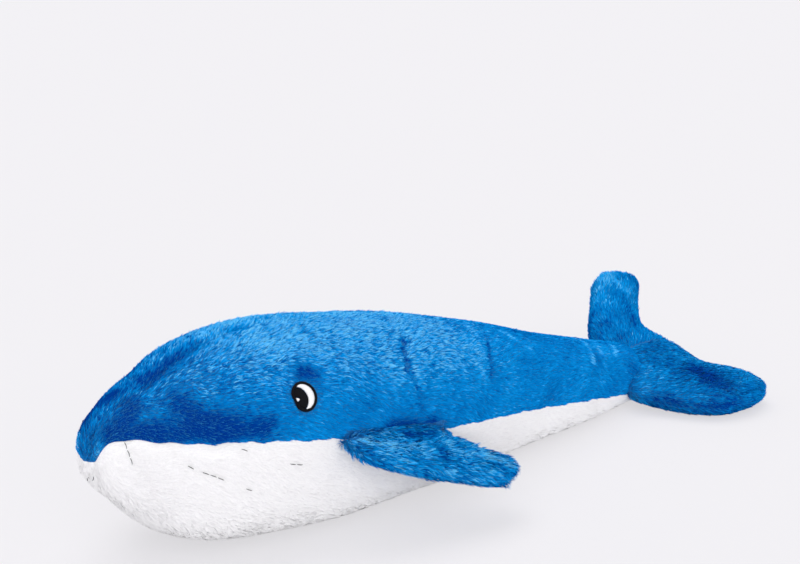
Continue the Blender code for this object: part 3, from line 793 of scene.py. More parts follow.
def grained_material(name, texture, output, values, stops, bump_values, shader_values):
    """A material whose colour and bump follow one procedural texture."""
    made, tree, shader = new_material(name, shader_values)
    place = tree.nodes.new("ShaderNodeTexCoord")
    grain = tree.nodes.new(texture)
    set_inputs(grain, values)
    tree.links.new(place.outputs["Object"], grain.inputs["Vector"])
    colour = add_ramp(tree, grain.outputs[output], stops)
    tree.links.new(colour, shader.inputs["Base Color"])
    bump = tree.nodes.new("ShaderNodeBump")
    set_inputs(bump, bump_values)
    tree.links.new(grain.outputs[output], bump.inputs["Height"])
    tree.links.new(bump.outputs["Normal"], shader.inputs["Normal"])
    return made


def knit_material(name, dark, light):
    """The knitted ground that the pile grows from, seen between strands."""
    bump = {"Strength": 0.5, "Distance": 0.3 * MM}
    stops = ((0.0, light), (0.8, dark))
    cells = {"Scale": 900.0}
    return grained_material(
        name, "ShaderNodeTexVoronoi", "Distance", cells, stops, bump, {"Roughness": 0.9}
    )


def thread_material(name, colour, roughness, gloss, painted_ply_shade=0.6):
    """Twisted rayon thread: plies in its bump, painted shade between them, and a soft gloss."""
    bump = {"Strength": 0.35, "Distance": 0.05 * MM}
    stops = ((0.1, tuple(value * painted_ply_shade for value in colour)), (0.9, colour))
    plies = {"Scale": 1400.0, "Distortion": 2.0}
    finish = {"Roughness": roughness, "Specular IOR Level": gloss}
    return grained_material(name, "ShaderNodeTexWave", "Fac", plies, stops, bump, finish)


def seen_share(tree, others, seen):
    """A value for rays that the backdrop is seen along, and another for the rest."""
    ray = tree.nodes.new("ShaderNodeLightPath")
    total = ray.outputs["Is Camera Ray"]
    for output in ("Is Glossy Ray", "Is Transmission Ray"):
        most = tree.nodes.new("ShaderNodeMath")
        most.operation = "MAXIMUM"
        tree.links.new(total, most.inputs[0])
        tree.links.new(ray.outputs[output], most.inputs[1])
        total = most.outputs["Value"]
    share = tree.nodes.new("ShaderNodeMapRange")
    set_inputs(share, {"To Min": others, "To Max": seen})
    tree.links.new(total, share.inputs["Value"])
    return share.outputs["Result"]


def floor_material(colour):
    """Pale floor that keeps the whale's shadow, and looks partly lit from within to the camera."""
    finish = {"Base Color": (*colour, 1), "Roughness": 0.9, "Specular IOR Level": 0.1}
    made, tree, shader = new_material("pale_floor", finish)
    glow = tree.nodes.new("ShaderNodeEmission")
    glow.inputs["Color"].default_value = (*colour, 1)
    mix = tree.nodes.new("ShaderNodeMixShader")
    tree.links.new(seen_share(tree, 0.0, FLOOR_GLOW), mix.inputs["Fac"])
    tree.links.new(shader.outputs["BSDF"], mix.inputs[1])
    tree.links.new(glow.outputs["Emission"], mix.inputs[2])
    tree.links.new(mix.outputs["Shader"], tree.nodes["Material Output"].inputs["Surface"])
    return made


def material(name):
    """The material of that name, made the first time it is asked for."""
    found = bpy.data.materials.get(name)
    if found:
        return found
    colours = bpy.context.scene.whale_colours
    deep, blue = tuple(colours.shaded_pile_colour), tuple(colours.blue)
    bright, light = tuple(colours.lit_pile_colour), tuple(colours.tip_highlight_colour)
    white, shaded = tuple(colours.white), tuple(colours.shaded_white)
    if name == "blue_pile":
        # A strand's shade runs from painted shade through the blue to painted light and painted highlights
        shades = ((0.05, deep), (0.5, blue), (0.74, bright), (0.98, light))
        # The root and middle colours are painted shade deep in the pile
        return pile_material(name, shades, ((0.36, 0.52, 0.66), (0.86,) * 3), 0.6, 0.12)
    if name == "white_pile":
        shades = ((0.0, shaded), (0.5, white), (1.0, (0.95, 0.95, 0.95)))
        return pile_material(name, shades, ((0.94, 0.94, 0.95), (0.98,) * 3), 0.8, 0.1)
    # The grounds are painted darker than their pile: painted shade under the strands
    if name == "blue_ground":
        return knit_material(name, tuple(v * 0.5 for v in blue), tuple(v * 0.8 for v in blue))
    if name == "white_ground":
        return knit_material(name, shaded, white)
    if name == "black_satin_thread":
        return thread_material(name, tuple(colours.black_thread), 0.5, 0.06)
    if name == "white_satin_thread":
        return thread_material(name, tuple(colours.white_thread), 0.5, 0.3, 0.9)
    if name == "grey_pleat_thread":
        return thread_material(name, tuple(colours.grey_thread), 0.7, 0.1)
    raise ValueError(f"no material is called {name}")


# Skins and pile


class Skin:
    """A panel's surface: points, quads and normals, kept for its object and for the pile on it."""

    def __init__(self, points, faces, uvs, flat=None):
        self.points, self.faces, self.uvs = points, faces, uvs
        self.flat = points if flat is None else flat
        self.normals = grid_normals(points, faces)

    def roots(self, density, seed):
        """Places spread evenly over the skin, at a number of strands a square centimetre: where they are,
        their normals, and where they would be without dents."""
        rng = np.random.default_rng(seed)
        triangles = np.concatenate([self.faces[:, [0, 1, 2]], self.faces[:, [0, 2, 3]]])
        a, b, c = (self.points[triangles[:, k]] for k in range(3))
        areas = np.linalg.norm(np.cross(b - a, c - a), axis=1) / 2
        count = int(areas.sum() * density * PER_SQUARE_CM)
        steps = (np.arange(count) + rng.uniform(0, 1, count)) / count
        chosen = np.searchsorted(np.cumsum(areas) / areas.sum(), steps)
        chosen = np.minimum(chosen, len(triangles) - 1)
        u, v = rng.uniform(0, 1, (2, count))
        over = u + v > 1
        u, v = np.where(over, 1 - u, u), np.where(over, 1 - v, v)
        corners = triangles[chosen]
        weights = np.stack([1 - u - v, u, v], axis=1)[..., None]
        points, normals, flat = (
            (values[corners] * weights).sum(axis=1) for values in (self.points, self.normals, self.flat)
        )
        return points, unit(normals), flat

    def dented(self, rows, dents):
        """The skin pressed in along some rows, by depths that fade with a reach each."""
        distance = near_rows(self.flat, rows)[0]
        dip = sum(depth * fade(distance, reach) for depth, reach in dents)
        return Skin(self.points - self.normals * dip[:, None], self.faces, self.uvs, self.flat)

    def rest_on_floor(self):
        self.points[:, 2] = np.maximum(self.points[:, 2], SKIN_ABOVE_FLOOR)


def facing_out(points, faces, middle):
    """Quads and their normals, turned away from a middle."""
    normals = grid_normals(points, faces)
    if ((points - middle) * normals).sum() < 0:
        return faces[:, ::-1], -normals
    return faces, normals


def add_skin(name, skin, colour, nodes):
    """A skin's object, which stands for its covers and their filling."""
    obj = add_mesh(name, skin.points, [skin.faces], skin.uvs)
    obj.data.materials.append(material(f"{colour}_ground"))
    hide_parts(*nodes)
    return obj


def grow_pile(name, ground, nap, length, shade, colour, seed, **ways):
    """Tapered strands that lean along the nap and gather in tufts, as one mesh.

    ground is the strands' roots, their normals and how many stand on a square centimetre. length and shade
    are one number or one a strand. ways may set floor, the height below which no strand goes, rough, how
    unevenly the tufts lie, as one number or one a strand, gather, how far bends and tips are drawn to the
    middle of their tuft, and droop, how far down a strand may face."""
    pile = bpy.context.scene.whale_pile
    rough = ways.get("rough", 1.0)
    rng = np.random.default_rng(seed)
    roots, normals, density = ground
    count = len(roots)
    nap = unit(nap - normals * (nap * normals).sum(axis=1, keepdims=True))
    side = np.cross(normals, nap)

    in_tuft = max(1, round(density * PER_SQUARE_CM * pile.tuft_size**2))
    tufts = rng.permutation(count)[: max(1, count // in_tuft)]
    tree = KDTree(len(tufts))
    for number, spot in enumerate(roots[tufts]):
        tree.insert(spot, number)
    tree.balance()
    near = np.array([tree.find(spot)[1] for spot in roots])

    def uneven(by_tuft, by_strand):
        return rough * (rng.normal(0, by_tuft, len(tufts))[near] + rng.normal(0, by_strand, count))

    yaw, lift = uneven(*YAW_SPREAD), uneven(*LIFT_SPREAD)
    longer = (1 + uneven(*LENGTH_SPREAD)) * rng.uniform(*LENGTH_RANGE, count)
    shade = np.clip(shade + uneven(*SHADE_SPREAD), *SHADE_LIMITS)
    length = (length * longer)[:, None]

    heading = nap * np.cos(yaw)[:, None] + side * np.sin(yaw)[:, None]
    root_limits, tip_limits = LEAN_LIMITS
    lean_root = np.clip(pile.root_lean + lift, *root_limits)[:, None]
    lean_tip = np.clip(pile.tip_lean + lift * TIP_LIFT, *tip_limits)[:, None]
    start = normals * np.sin(lean_root) + heading * np.cos(lean_root)
    end = normals * np.sin(lean_tip) + heading * np.cos(lean_tip)

    low = roots - normals * ROOT_DEPTH
    bend = roots + start * length * BEND_SHARE
    tip = bend + end * length * (1 - BEND_SHARE)
    gather_bend, gather_tip = ways.get("gather", GATHERED)
    bend += (bend[tufts][near] - bend) * gather_bend
    tip += (tip[tufts][near] - tip) * gather_tip
    floor = ways.get("floor")
    if floor is not None:
        for points in (low, bend, tip):
            points[:, 2] = np.maximum(points[:, 2], floor)

    turn = rng.uniform(*TWIST_RANGE, count)[:, None]
    width = pile.strand_width * rng.uniform(*WIDTH_RANGE, count)[:, None]
    across = unit(np.cross(normals, start)) * np.cos(turn) + normals * np.sin(turn)
    half_root, half_bend = (across * width * half for half in HALF_WIDTHS)
    corners = [low + half_root, low - half_root, bend - half_bend, bend + half_bend, tip]
    points = np.stack(corners, axis=1).reshape(-1, 3)
    first = np.arange(count)[:, None] * len(corners)
    quads, tips = first + np.array([0, 1, 2, 3]), first + np.array([3, 2, 4])

    tufted = rng.normal(0, FACING_SPREAD, (len(tufts), 3))[near]
    tufted = unit(normals + tufted * np.reshape(rough, (-1, 1)))
    facing = []
    for along in (start, end):
        upright = tufted - along * (tufted * along).sum(axis=1, keepdims=True)
        facing.append(unit(tufted * TUFT_FACING + unit(upright) * STRAND_FACING))
    shown = np.stack(facing, axis=1)[:, [0, 0, 0, 0, 1]]
    shown[..., 2] = np.maximum(shown[..., 2], ways.get("droop", -1.0))
    shown = unit(shown).reshape(-1, 3)

    edges = SHADE_EDGE * np.array([-1, 1, 1, -1, 0])
    u = shade[:, None] + edges
    v = np.array(UP_THE_STRAND)[[0, 0, 1, 1, 2]] + 0 * u
    obj = add_mesh(name, points, [quads, tips], np.stack([u, v], axis=-1).reshape(-1, 2), shown)
    obj.data.materials.append(material(f"{colour}_pile"))
    return obj


def patch_shade(points, patches):
    """How much lighter or darker the pile is at points, from rows in metres with a reach and a strength."""
    total = np.zeros(len(points))
    for row, reach, strength in patches:
        near = np.linalg.norm(points - row.mean(axis=0), axis=1) < PATCH_SPAN
        total[near] += strength * fade(near_rows(points[near], [row])[0], reach * MM)
    return total


def mirrored(patches, side):
    """Patches in millimetres on the left, as rows in metres on one side."""
    flip = np.array([1.0, -side, 1.0])
    return [(np.array(row, float) * MM * flip, reach, strength) for row, reach, strength in patches]


def beside_seam(nap, roots, rows, most=1.0):
    """The nap turned along the seams near it, and how much shorter the pile is there."""
    distance, _, along = near_rows(roots, rows)
    close = most * fade(distance, SEAM_NAP_REACH) * smooth_step(*SEAM_NAP_SHARES, body_share(roots[:, 0]))
    turned = unit(nap) * (1 - close)[:, None] + along * close[:, None]
    return turned, 1 - SHORTER_AT_SEAM * fade(distance, 0.5 * SEAM_NAP_REACH)


# Pieces of the body


def body_rows():
    """Rows of a body skin: their shares, and how each shrinks about its middle and moves along."""
    share = np.linspace(0, math.sqrt(BODY_END_SHARE), BODY_ROWS) ** 2
    nose, tail = np.array(NOSE_ROUNDING), np.array(TAIL_ROUNDING)
    return (
        np.concatenate([0 * nose[:, 0], share, 0 * tail[:, 0] + BODY_END_SHARE]),
        np.concatenate([nose[:, 0], 1 + 0 * share, tail[:, 0]])[:, None],
        np.concatenate([nose[:, 1], 0 * share, tail[:, 1]])[:, None] * MM,
    )


def body_skin(angles_of, columns, inset, side):
    """A panel of the body between two angles, with its borders sewn in."""
    share, shrink, shift = body_rows()
    angle = angles_of(share[:, None], np.linspace(0, 1, columns)[None, :])
    points = body_points(share[:, None] + 0 * angle, angle, inset)
    middle = body_section(share, inset)[1][:, None]
    points[..., 0] += shift
    points[..., 1] *= shrink * side
    points[..., 2] = (points[..., 2] - middle) * shrink + middle
    flat = points.reshape(-1, 3)
    faces = grid_faces(len(share), columns)
    faces, normals = facing_out(flat, faces, np.array([0.0, 0.0, BODY_CORE_HEIGHT]))
    normals = normals.reshape(points.shape)
    for border in (0, -1):
        gap = np.linalg.norm(points - points[:, [border]], axis=-1)
        points = points - normals * (SEAM_DIP * fade(gap, SEAM_REACH))[..., None]
    height, *lumps = BODY_LUMPS
    points = points + normals * (soft_noise(points, *lumps) * height)[..., None]
    return Skin(points.reshape(-1, 3), faces, grid_uvs(len(share), columns))


def body_nap(points, side):
    """The way that the pile lies on the back: to the tail, a little down, and wandering."""
    along, out, down = BACK_NAP
    nap = np.tile((along, out * side, down), (len(points), 1))
    wander = mottle(points, BACK_WANDER)
    turn, reach = NOSE_NAP
    nap[:, 2] += wander + turn * fade(np.maximum(body_share(points[:, 0]), 0), reach)
    nap[:, 1] += wander * 0.4
    return nap


def oval_gap(a, b, oval, flat=True):
    """Signed distance, roughly, from an upright oval that is cut flat at its lower front; below 0 inside."""
    width, height, forward, down, grow = oval
    half_wide, half_high = width / 2 + grow, height / 2 + grow
    x, y = (a + forward) / half_wide, (b + down) / half_high
    gap = (np.sqrt(x * x + y * y) - 1) * min(half_wide, half_high)
    if flat:
        turn = math.radians(EYE_FLAT_TURN_DEG)
        gap = np.maximum(gap, a * math.cos(turn) + b * math.sin(turn) - (EYE_FLAT_OUT + grow))
    return gap


@functools.cache
def eye_frame(side):
    """An eye's middle on the body, and its directions back, up and out."""
    eye = bpy.context.scene.whale_eye
    form = bpy.context.scene.whale_form
    share, height = np.array([eye.along]), np.array([eye.up * form.body_height])
    step = 1 * MM
    middle = on_side(share, height, side)[0]
    back = on_side(share + step / form.body_length, height, side)[0] - middle
    up = on_side(share, height + step, side)[0] - middle
    out = unit(np.cross(back, up))
    out *= np.sign(out[1] * side)
    up = np.array([0.0, 0.0, 1.0])
    up = unit(up - out * (up @ out))
    back = np.cross(up, out)
    back *= np.sign(back[0])
    return middle, back, up, out


def clear_of_eye(roots, side):
    """Which roots stand clear of an eye, and how much shorter the pile is round it."""
    eye = bpy.context.scene.whale_eye
    middle, back, up, out = eye_frame(side)
    local = roots - middle
    a, b, deep = local @ back, local @ up, local @ out
    gap = oval_gap(a, b, (eye.width, eye.height, 0, 0, 0))
    gap = np.where(np.abs(deep) < EYE_DEPTH, gap, 1.0)
    near, far = SHORT_PILE_REACH
    reach = (near + far * np.clip(-a / (eye.width / 2), 0, 1)) * MM
    shorter = np.clip(SHORTEST_PILE + (1 - SHORTEST_PILE) * gap / reach, SHORTEST_PILE, 1)
    return gap > PILE_GAP, shorter


def under_fin(roots, side, word):
    """Roots that a fin's root covers."""
    form = bpy.context.scene.whale_form
    middle, along, _, normal = fin_frame(side, word)
    a, up = (roots - middle) @ along, (roots - middle) @ normal
    half = form.fin_sweep * FIN_STATION_SHARES[0][2]
    return (np.abs(a) < half - 2 * MM) & (np.abs(up) < form.fin_thickness * 0.28)


class WHALE_OT_back_covers(Operator):
    """Builds the two blue panels of the back and their pile."""

    bl_idname = "whale.back_covers"
    bl_label = "Back covers"

    def execute(self, context):
        pile = context.scene.whale_pile
        for side, word in SIDES:

            def angles(share, t):
                low = seam_angle(share, BLUE_INSET, side)
                return low + (math.pi / 2 - low) * t

            skin = body_skin(angles, BACK_COLUMNS, BLUE_INSET, side)
            creases = [(surface_row(row, side), depth) for row, depth in BODY_CREASES]
            for row, depth in creases:
                skin = skin.dented([row], [(part * depth * MM, reach) for part, reach in CREASE_DENTS])
            for spot, depth, reach in BODY_DENTS:
                skin = skin.dented([surface_row([spot], side)], ((depth * MM, reach * MM),))
            nodes = [f"back_cover_{word}", "body_filling"]
            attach(add_skin(f"back_skin_{word}", skin, "blue", nodes), "body")

            root_seed, strand_seed = BACK_SEEDS
            roots, normals, flat = skin.roots(pile.blue_density, root_seed + side)
            keep, shorter = clear_of_eye(roots, side)
            keep &= ~under_fin(roots, side, word)
            roots, normals, flat, shorter = (v[keep] for v in (roots, normals, flat, shorter))
            nap = body_nap(flat, side)
            shade = BACK_SHADE + mottle(flat, BACK_MOTTLE)
            for row, depth in creases:
                distance, away, _ = near_rows(flat, [row])
                crease = fade(distance, CREASE_REACH) * min(1, depth / FULL_CREASE_DEPTH)
                nap += away * (CREASE_PARTING * crease)[:, None]
                # Painted shade in the crease
                shade += CREASE_PAINTED_SHADE * crease
                shorter *= 1 - CREASE_SHORTER * crease
            nap, at_seam = beside_seam(nap, flat, [seam_row(side)], BLUE_ALONG_SEAM)
            rows = [(surface_row(row, side), *rest) for row, *rest in BODY_PAINTED_SHADE_AND_LIGHT]
            patches = patch_shade(flat, rows)
            share = body_share(roots[:, 0])
            seam = seam_height(share)
            top = body_column(TOP, share) * context.scene.whale_form.body_height
            high = smooth_step(*HIGH_SHARES, (flat[:, 2] - seam) / (top - seam))
            ahead = 1 - smooth_step(*AHEAD_SHARES, share)
            # Painted shade and light of the patches, and the painted sheen on the upper back past the snout
            shade += patches + HIGH_PAINTED_SHEEN * high * ahead * smooth_step(*PAST_SNOUT_SHARES, share)
            least, more = BACK_ROUGHNESS
            rough = least + more * np.maximum(high, SNOUT_ROUGHNESS * (share < SNOUT_SHARE)) * ahead
            fur = grow_pile(
                f"back_pile_{word}",
                (roots, normals, pile.blue_density),
                nap,
                pile.blue_length * shorter * at_seam,
                shade,
                "blue",
                strand_seed + side,
                rough=rough * (1 + 1.5 * np.clip(patches, -0.4, 0)),
            )
            fur.visible_shadow = False
            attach(fur, "body")
        return {"FINISHED"}


class WHALE_OT_belly_cover(Operator):
    """Builds the white panel of the jaw and belly and its pile, pressed flat where the whale lies."""

    bl_idname = "whale.belly_cover"
    bl_label = "Belly cover"

    def execute(self, context):
        pile = context.scene.whale_pile

        def angles(share, t):
            right, left = seam_angle(share, WHITE_INSET, 1), seam_angle(share, WHITE_INSET, -1)
            return right - (math.pi + right + left) * t

        lines = [pleat_line(row, side) for side, _ in SIDES for row, _ in PLEAT_ROWS]
        lines.append(pleat_line(MIDDLE_PLEAT_ROW[0], -1))
        skin = body_skin(angles, BELLY_COLUMNS, WHITE_INSET, 1).dented(lines, PLEAT_DENTS)
        skin.rest_on_floor()
        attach(add_skin("belly_skin", skin, "white", ["belly_cover"]), "body")

        root_seed, strand_seed = BELLY_SEEDS
        roots, normals, _ = skin.roots(pile.white_density, root_seed)
        distance, away, _ = near_rows(roots, lines)
        parted = fade(distance, PLEAT_REACH)
        along, out, down = BELLY_NAP
        nap = np.tile((along, out, down), (len(roots), 1)).astype(float)
        nap[roots[:, 1] < 0, 1] *= -1
        nap[:, 2] += mottle(roots, BELLY_WANDER)
        nap += away * (parted * PLEAT_PARTING)[:, None]
        nap, at_seam = beside_seam(nap, roots, [seam_row(side) for side, _ in SIDES])
        # Painted shade in the pleats' grooves
        shade = BELLY_SHADE + mottle(roots, BELLY_MOTTLE) + PLEAT_PAINTED_SHADE * parted
        length = pile.white_length * at_seam * (1 - PLEAT_SHORTER * parted)
        for number, (side, word) in enumerate(SIDES):
            chosen = (roots[:, 1] >= 0) == (side > 0)
            fur = grow_pile(
                f"belly_pile_{word}",
                (roots[chosen], normals[chosen], pile.white_density),
                nap[chosen],
                length[chosen],
                shade[chosen],
                "white",
                strand_seed + number,
                floor=PILE_ABOVE_FLOOR,
                rough=0.5,
                droop=0.02,
            )
            fur.visible_shadow = False
            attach(fur, "body")
        return {"FINISHED"}


# Fins and flukes


def fin_frame(side, word):
    """A fin's middle, and its directions along the root, out of the body and up through it."""
    form = bpy.context.scene.whale_form
    joint = JOINTS[f"fin_{word}_flap"]
    middle = np.array(joint["pos_m"])
    along = unit(np.array(joint["axis"])) * side
    outward = np.array([0, side * math.cos(form.fin_droop), -math.sin(form.fin_droop)])
    outward = unit(outward - along * (outward @ along))
    normal = np.cross(along, outward) * side
    if normal[2] < 0:
        normal = -normal
    return middle, along, outward, normal


def pillow_skin(centre, across, normal, half_chord, half_thick, columns, power, seed):
    """The skin of a sewn pillow: a flat oval about each centre, drawn in along the seam round its edge."""
    angle = np.linspace(0, math.tau, columns, endpoint=False)[None, :] + 0 * half_chord[:, None]
    c, s = np.cos(angle), np.sin(angle)
    radius = oval_sum(c, s, half_chord[:, None], half_thick[:, None], power) ** (-1 / power)
    points = centre[:, None] + across * (radius * c)[..., None] + normal * (radius * s)[..., None]
    flat = points.reshape(-1, 3)
    middle = np.repeat(points.mean(axis=1), columns, axis=0)
    faces, normals = facing_out(flat, grid_faces(len(points), columns, closed=True), middle)
    edges = [points[:, [0]], points[:, [columns // 2]]]
    from_edge = np.min([np.linalg.norm(points - edge, axis=-1) for edge in edges], axis=0)
    height, size = PILLOW_LUMPS
    dip = EDGE_DIP * fade(from_edge, SEAM_REACH) - soft_noise(points, size, seed) * height
    return Skin(flat - normals * dip.reshape(-1, 1), faces, grid_uvs(len(points), columns))


def fin_skin(side, word, inset):
    """A fin's skin, from inside its root to past its tip."""
    form = bpy.context.scene.whale_form
    middle, along, outward, normal = fin_frame(side, word)
    stations = np.array([(n, *row) for n, row in enumerate(FIN_STATION_SHARES)])
    last = len(stations) - 1
    tip = np.array(FIN_ROUNDING)
    at = np.concatenate([np.zeros(6), np.linspace(0, last, FIN_ROWS), np.full(len(tip), last)])
    shift = np.concatenate([np.linspace(-12, -2, 6) * MM, np.zeros(FIN_ROWS + len(tip))])
    shrink = np.concatenate([(0.02, 0.7), np.ones(FIN_ROWS + 4), tip[:, 0]])
    past = np.concatenate([np.zeros(FIN_ROWS + 6), tip[:, 1] * MM])
    fa, fo, ba, bo, thick = (through_stations(stations, k, at) for k in range(1, 6))
    front, back = (
        middle
        + along * (a * form.fin_sweep)[:, None]
        + outward * (out * form.fin_reach + shift)[:, None]
        for a, out in ((fa, fo), (ba, bo))
    )
    across = unit(back - front)
    half_chord = (np.linalg.norm(back - front, axis=1) / 2 - inset) * shrink
    half_thick = (thick * form.fin_thickness / 2 - inset) * np.sqrt(shrink)
    past_tip = np.cross(across, normal)
    past_tip *= np.sign((past_tip * outward).sum(axis=1, keepdims=True))
    centre = (front + back) / 2 + past_tip * (past - inset * (at >= last))[:, None]
    seed = FIN_LUMP_SEED + side
    return pillow_skin(centre, across[:, None], normal, half_chord, half_thick, FIN_COLUMNS, 2.15, seed)


class WHALE_OT_fins(Operator):
    """Builds both fins and their long pile."""

    bl_idname = "whale.fins"
    bl_label = "Fins"

    def execute(self, context):
        pile = context.scene.whale_pile
        for side, word in SIDES:
            middle, along, outward, _ = fin_frame(side, word)
            skin = fin_skin(side, word, FIN_INSET)
            nodes = [f"fin_{part}_{word}" for part in ("upper_cover", "lower_cover", "filling")]
            start, end = middle - outward * 5 * MM, middle + outward * 9 * MM
            obj = add_skin(f"fin_skin_{word}", skin, "blue", nodes)
            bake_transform(obj)
            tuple(start)
            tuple(end)

            root_seed, strand_seed = FIN_SEEDS
            roots, normals, _ = skin.roots(pile.blue_density, root_seed + side)
            keep = body_depth(roots, BLUE_INSET) > 0.0
            roots, normals = roots[keep], normals[keep]
            nap_along, nap_out = FIN_NAP
            wander = mottle(roots, FIN_WANDER)[:, None]
            nap = along * nap_along + outward * nap_out + (outward - along * 0.5) * wander
            shade = FIN_SHADE + mottle(roots, FIN_MOTTLE)
            # Painted highlights and painted shade on the fin
            shade += patch_shade(roots, mirrored(FIN_PAINTED_SHADE_AND_LIGHT, side))
            fur = grow_pile(
                f"fin_pile_{word}",
                (roots, normals, pile.blue_density),
                nap,
                pile.fin_length,
                shade,
                "blue",
                strand_seed + side,
                rough=0.8,
                gather=FIN_GATHERED,
            )
            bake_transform(fur)
            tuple(start)
            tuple(end)
        return {"FINISHED"}


def lobe_stations():
    """Stations from the left tip to the right one: number, place, turn, front, back and thickness."""
    form = bpy.context.scene.whale_form
    rows = {}
    for side, table in ((-1, LEFT_LOBE_SHARES), (1, RIGHT_LOBE_SHARES)):
        spot, made = np.array(JOINTS["fluke_wag"]["pos_m"]), []
        for number, (out, front, back, thick, lean) in enumerate(table):
            turn = math.radians(lean * side)
            if number:
                step = (out - table[number - 1][0]) * form.fluke_span / 2
                spot = spot + side * step * np.array([0, math.cos(turn), math.sin(turn)])
            following = math.radians(table[min(number + 1, len(table) - 1)][4] * side)
            made.append((*spot, (turn + following) / 2, front, back, thick))
        rows[side] = made
    table = [*reversed(rows[-1]), *rows[1][1:]]
    table = np.array([(n, *row) for n, row in enumerate(table)])
    table[len(rows[-1]) - 1, 4] = (rows[-1][0][3] + rows[1][0][3]) / 2
    return table


def fluke_skin(inset):
    """The flukes' skin from the left tip to the right one."""
    form = bpy.context.scene.whale_form
    table = lobe_stations()
    last = len(table) - 1
    tip = np.array(LOBE_ROUNDING)
    at = np.concatenate([np.zeros(len(tip)), np.linspace(0, last, LOBE_ROWS), np.full(len(tip), last)])
    shrink = np.concatenate([tip[::-1, 0], np.ones(LOBE_ROWS), tip[:, 0]])
    past = np.concatenate([-tip[::-1, 1], np.zeros(LOBE_ROWS), tip[:, 1]]) * MM
    x, y, z, turn, front, back, thick = (through_stations(table, k, at) for k in range(1, 8))
    spot = np.stack([x, y, z], axis=1)
    along = np.stack([0 * turn, np.cos(turn), np.sin(turn)], axis=1)
    x_axis = np.array([1.0, 0, 0])
    normal = np.cross(x_axis, along)
    ends = np.where(at <= 0, 1, np.where(at >= last, -1, 0))
    centre = spot + along * (past + ends * inset)[:, None]
    centre = centre + x_axis * ((front + back) / 2 * form.fluke_length)[:, None]
    half_chord = ((back - front) / 2 * form.fluke_length - inset) * shrink
    half_thick = (thick * form.fluke_thickness / 2 - inset) * np.sqrt(shrink)
    return pillow_skin(
        centre, x_axis, normal[:, None], half_chord, half_thick, LOBE_COLUMNS, 2.2, FLUKE_LUMP_SEED
    )


class WHALE_OT_flukes(Operator):
    """Builds the flukes and their pile."""

    bl_idname = "whale.flukes"
    bl_label = "Flukes"

    def execute(self, context):
        pile = context.scene.whale_pile
        origin = Vector(JOINTS["fluke_wag"]["pos_m"])
        skin = fluke_skin(FLUKE_INSET)
        skin.rest_on_floor()
        nodes = ["fluke_upper_cover", "fluke_lower_cover", "fluke_filling"]
        start, end = origin - Vector((12 * MM, 0, 0)), origin + Vector((8 * MM, 0, 0))
        obj = add_skin("fluke_skin", skin, "blue", nodes)
        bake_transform(obj)
        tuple(start)
        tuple(end)

        root_seed, strand_seed = FLUKE_SEEDS
        roots, normals, _ = skin.roots(pile.blue_density, root_seed)
        inside = (body_depth(roots, BLUE_INSET) < 0) & (roots[:, 0] < body_x(BODY_END_SHARE))
        roots, normals = roots[~inside], normals[~inside]
        out = np.sign(roots[:, 1] - origin.y)
        along, outward, up = FLUKE_NAP
        wander = mottle(roots, FLUKE_WANDER)
        nap = np.stack([along - wander, out * outward + wander * 0.5, up * out], axis=1)
        shade = FLUKE_SHADE + mottle(roots, FLUKE_MOTTLE)
        # Painted shade on the near lobe and painted light on the far one
        shade += patch_shade(roots, mirrored(FLUKE_PAINTED_SHADE_AND_LIGHT, -1))
        # Painted shade along the seam round the lobes' edge
        grid = skin.points.reshape(-1, LOBE_COLUMNS, 3)[::3]
        distance = near_rows(roots, [grid[:, 0], grid[:, LOBE_COLUMNS // 2]])[0]
        shade -= EDGE_PAINTED_SHADE * fade(distance, EDGE_PAINTED_SHADE_REACH)
        fur = grow_pile(
            "fluke_pile",
            (roots, normals, pile.blue_density),
            nap,
            pile.fluke_length,
            shade,
            "blue",
            strand_seed,
            floor=PILE_ABOVE_FLOOR,
            rough=0.55,
        )
        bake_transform(fur)
        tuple(start)
        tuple(end)
        return {"FINISHED"}


# Eyes and pleats


def add_threads(name, threads, material_name, node):
    """Threads as one mesh that stands for a node. Each is its points, the way out there, and its radii."""
    turn = np.linspace(0, math.tau, THREAD_SIDES, endpoint=False)
    points, quads, total = [], [], 0
    for spine, out, radius in threads:
        along = unit(np.gradient(spine, axis=0))
        across = unit(np.cross(along, out))
        upright = np.cross(across, along)
        ring = (
            spine[:, None]
            + across[:, None] * (radius[:, None] * np.cos(turn))[..., None]
            + upright[:, None] * (radius[:, None] * np.sin(turn))[..., None]
        )
        points.append(ring.reshape(-1, 3))
        quads.append(grid_faces(len(spine), THREAD_SIDES, closed=True) + total)
        total += len(points[-1])
    points = np.concatenate(points)
    low, high = points.min(axis=0), points.max(axis=0)
    uvs = ((points - low) / np.maximum(high - low, 1e-6))[:, [0, 2]]
    obj = add_mesh(name, points, [np.concatenate(quads)], uvs)
    obj.data.materials.append(material(material_name))
    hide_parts(node)
    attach(obj, "body")


def on_eye(places, lift, side):
    """Points over the body's outer surface at places in an eye's frame."""
    middle, back, up, out = eye_frame(side)
    base = middle + places[:, :1] * back + places[:, 1:] * up
    low, high = np.full(len(places), -6 * MM), np.full(len(places), 8 * MM)
    for _ in range(24):
        half = (low + high) / 2
        outside = body_depth(base - half[:, None] * out) > 0
        low, high = np.where(outside, half, low), np.where(outside, high, half)
    return base - ((low + high) / 2)[:, None] * out + lift[:, None] * out


def arched(s, arch):
    """Height of a stitch over the skin, from its ends to its middle."""
    low, rise = arch
    return (low + rise * np.sin(np.pi * s) ** 0.5) * MM


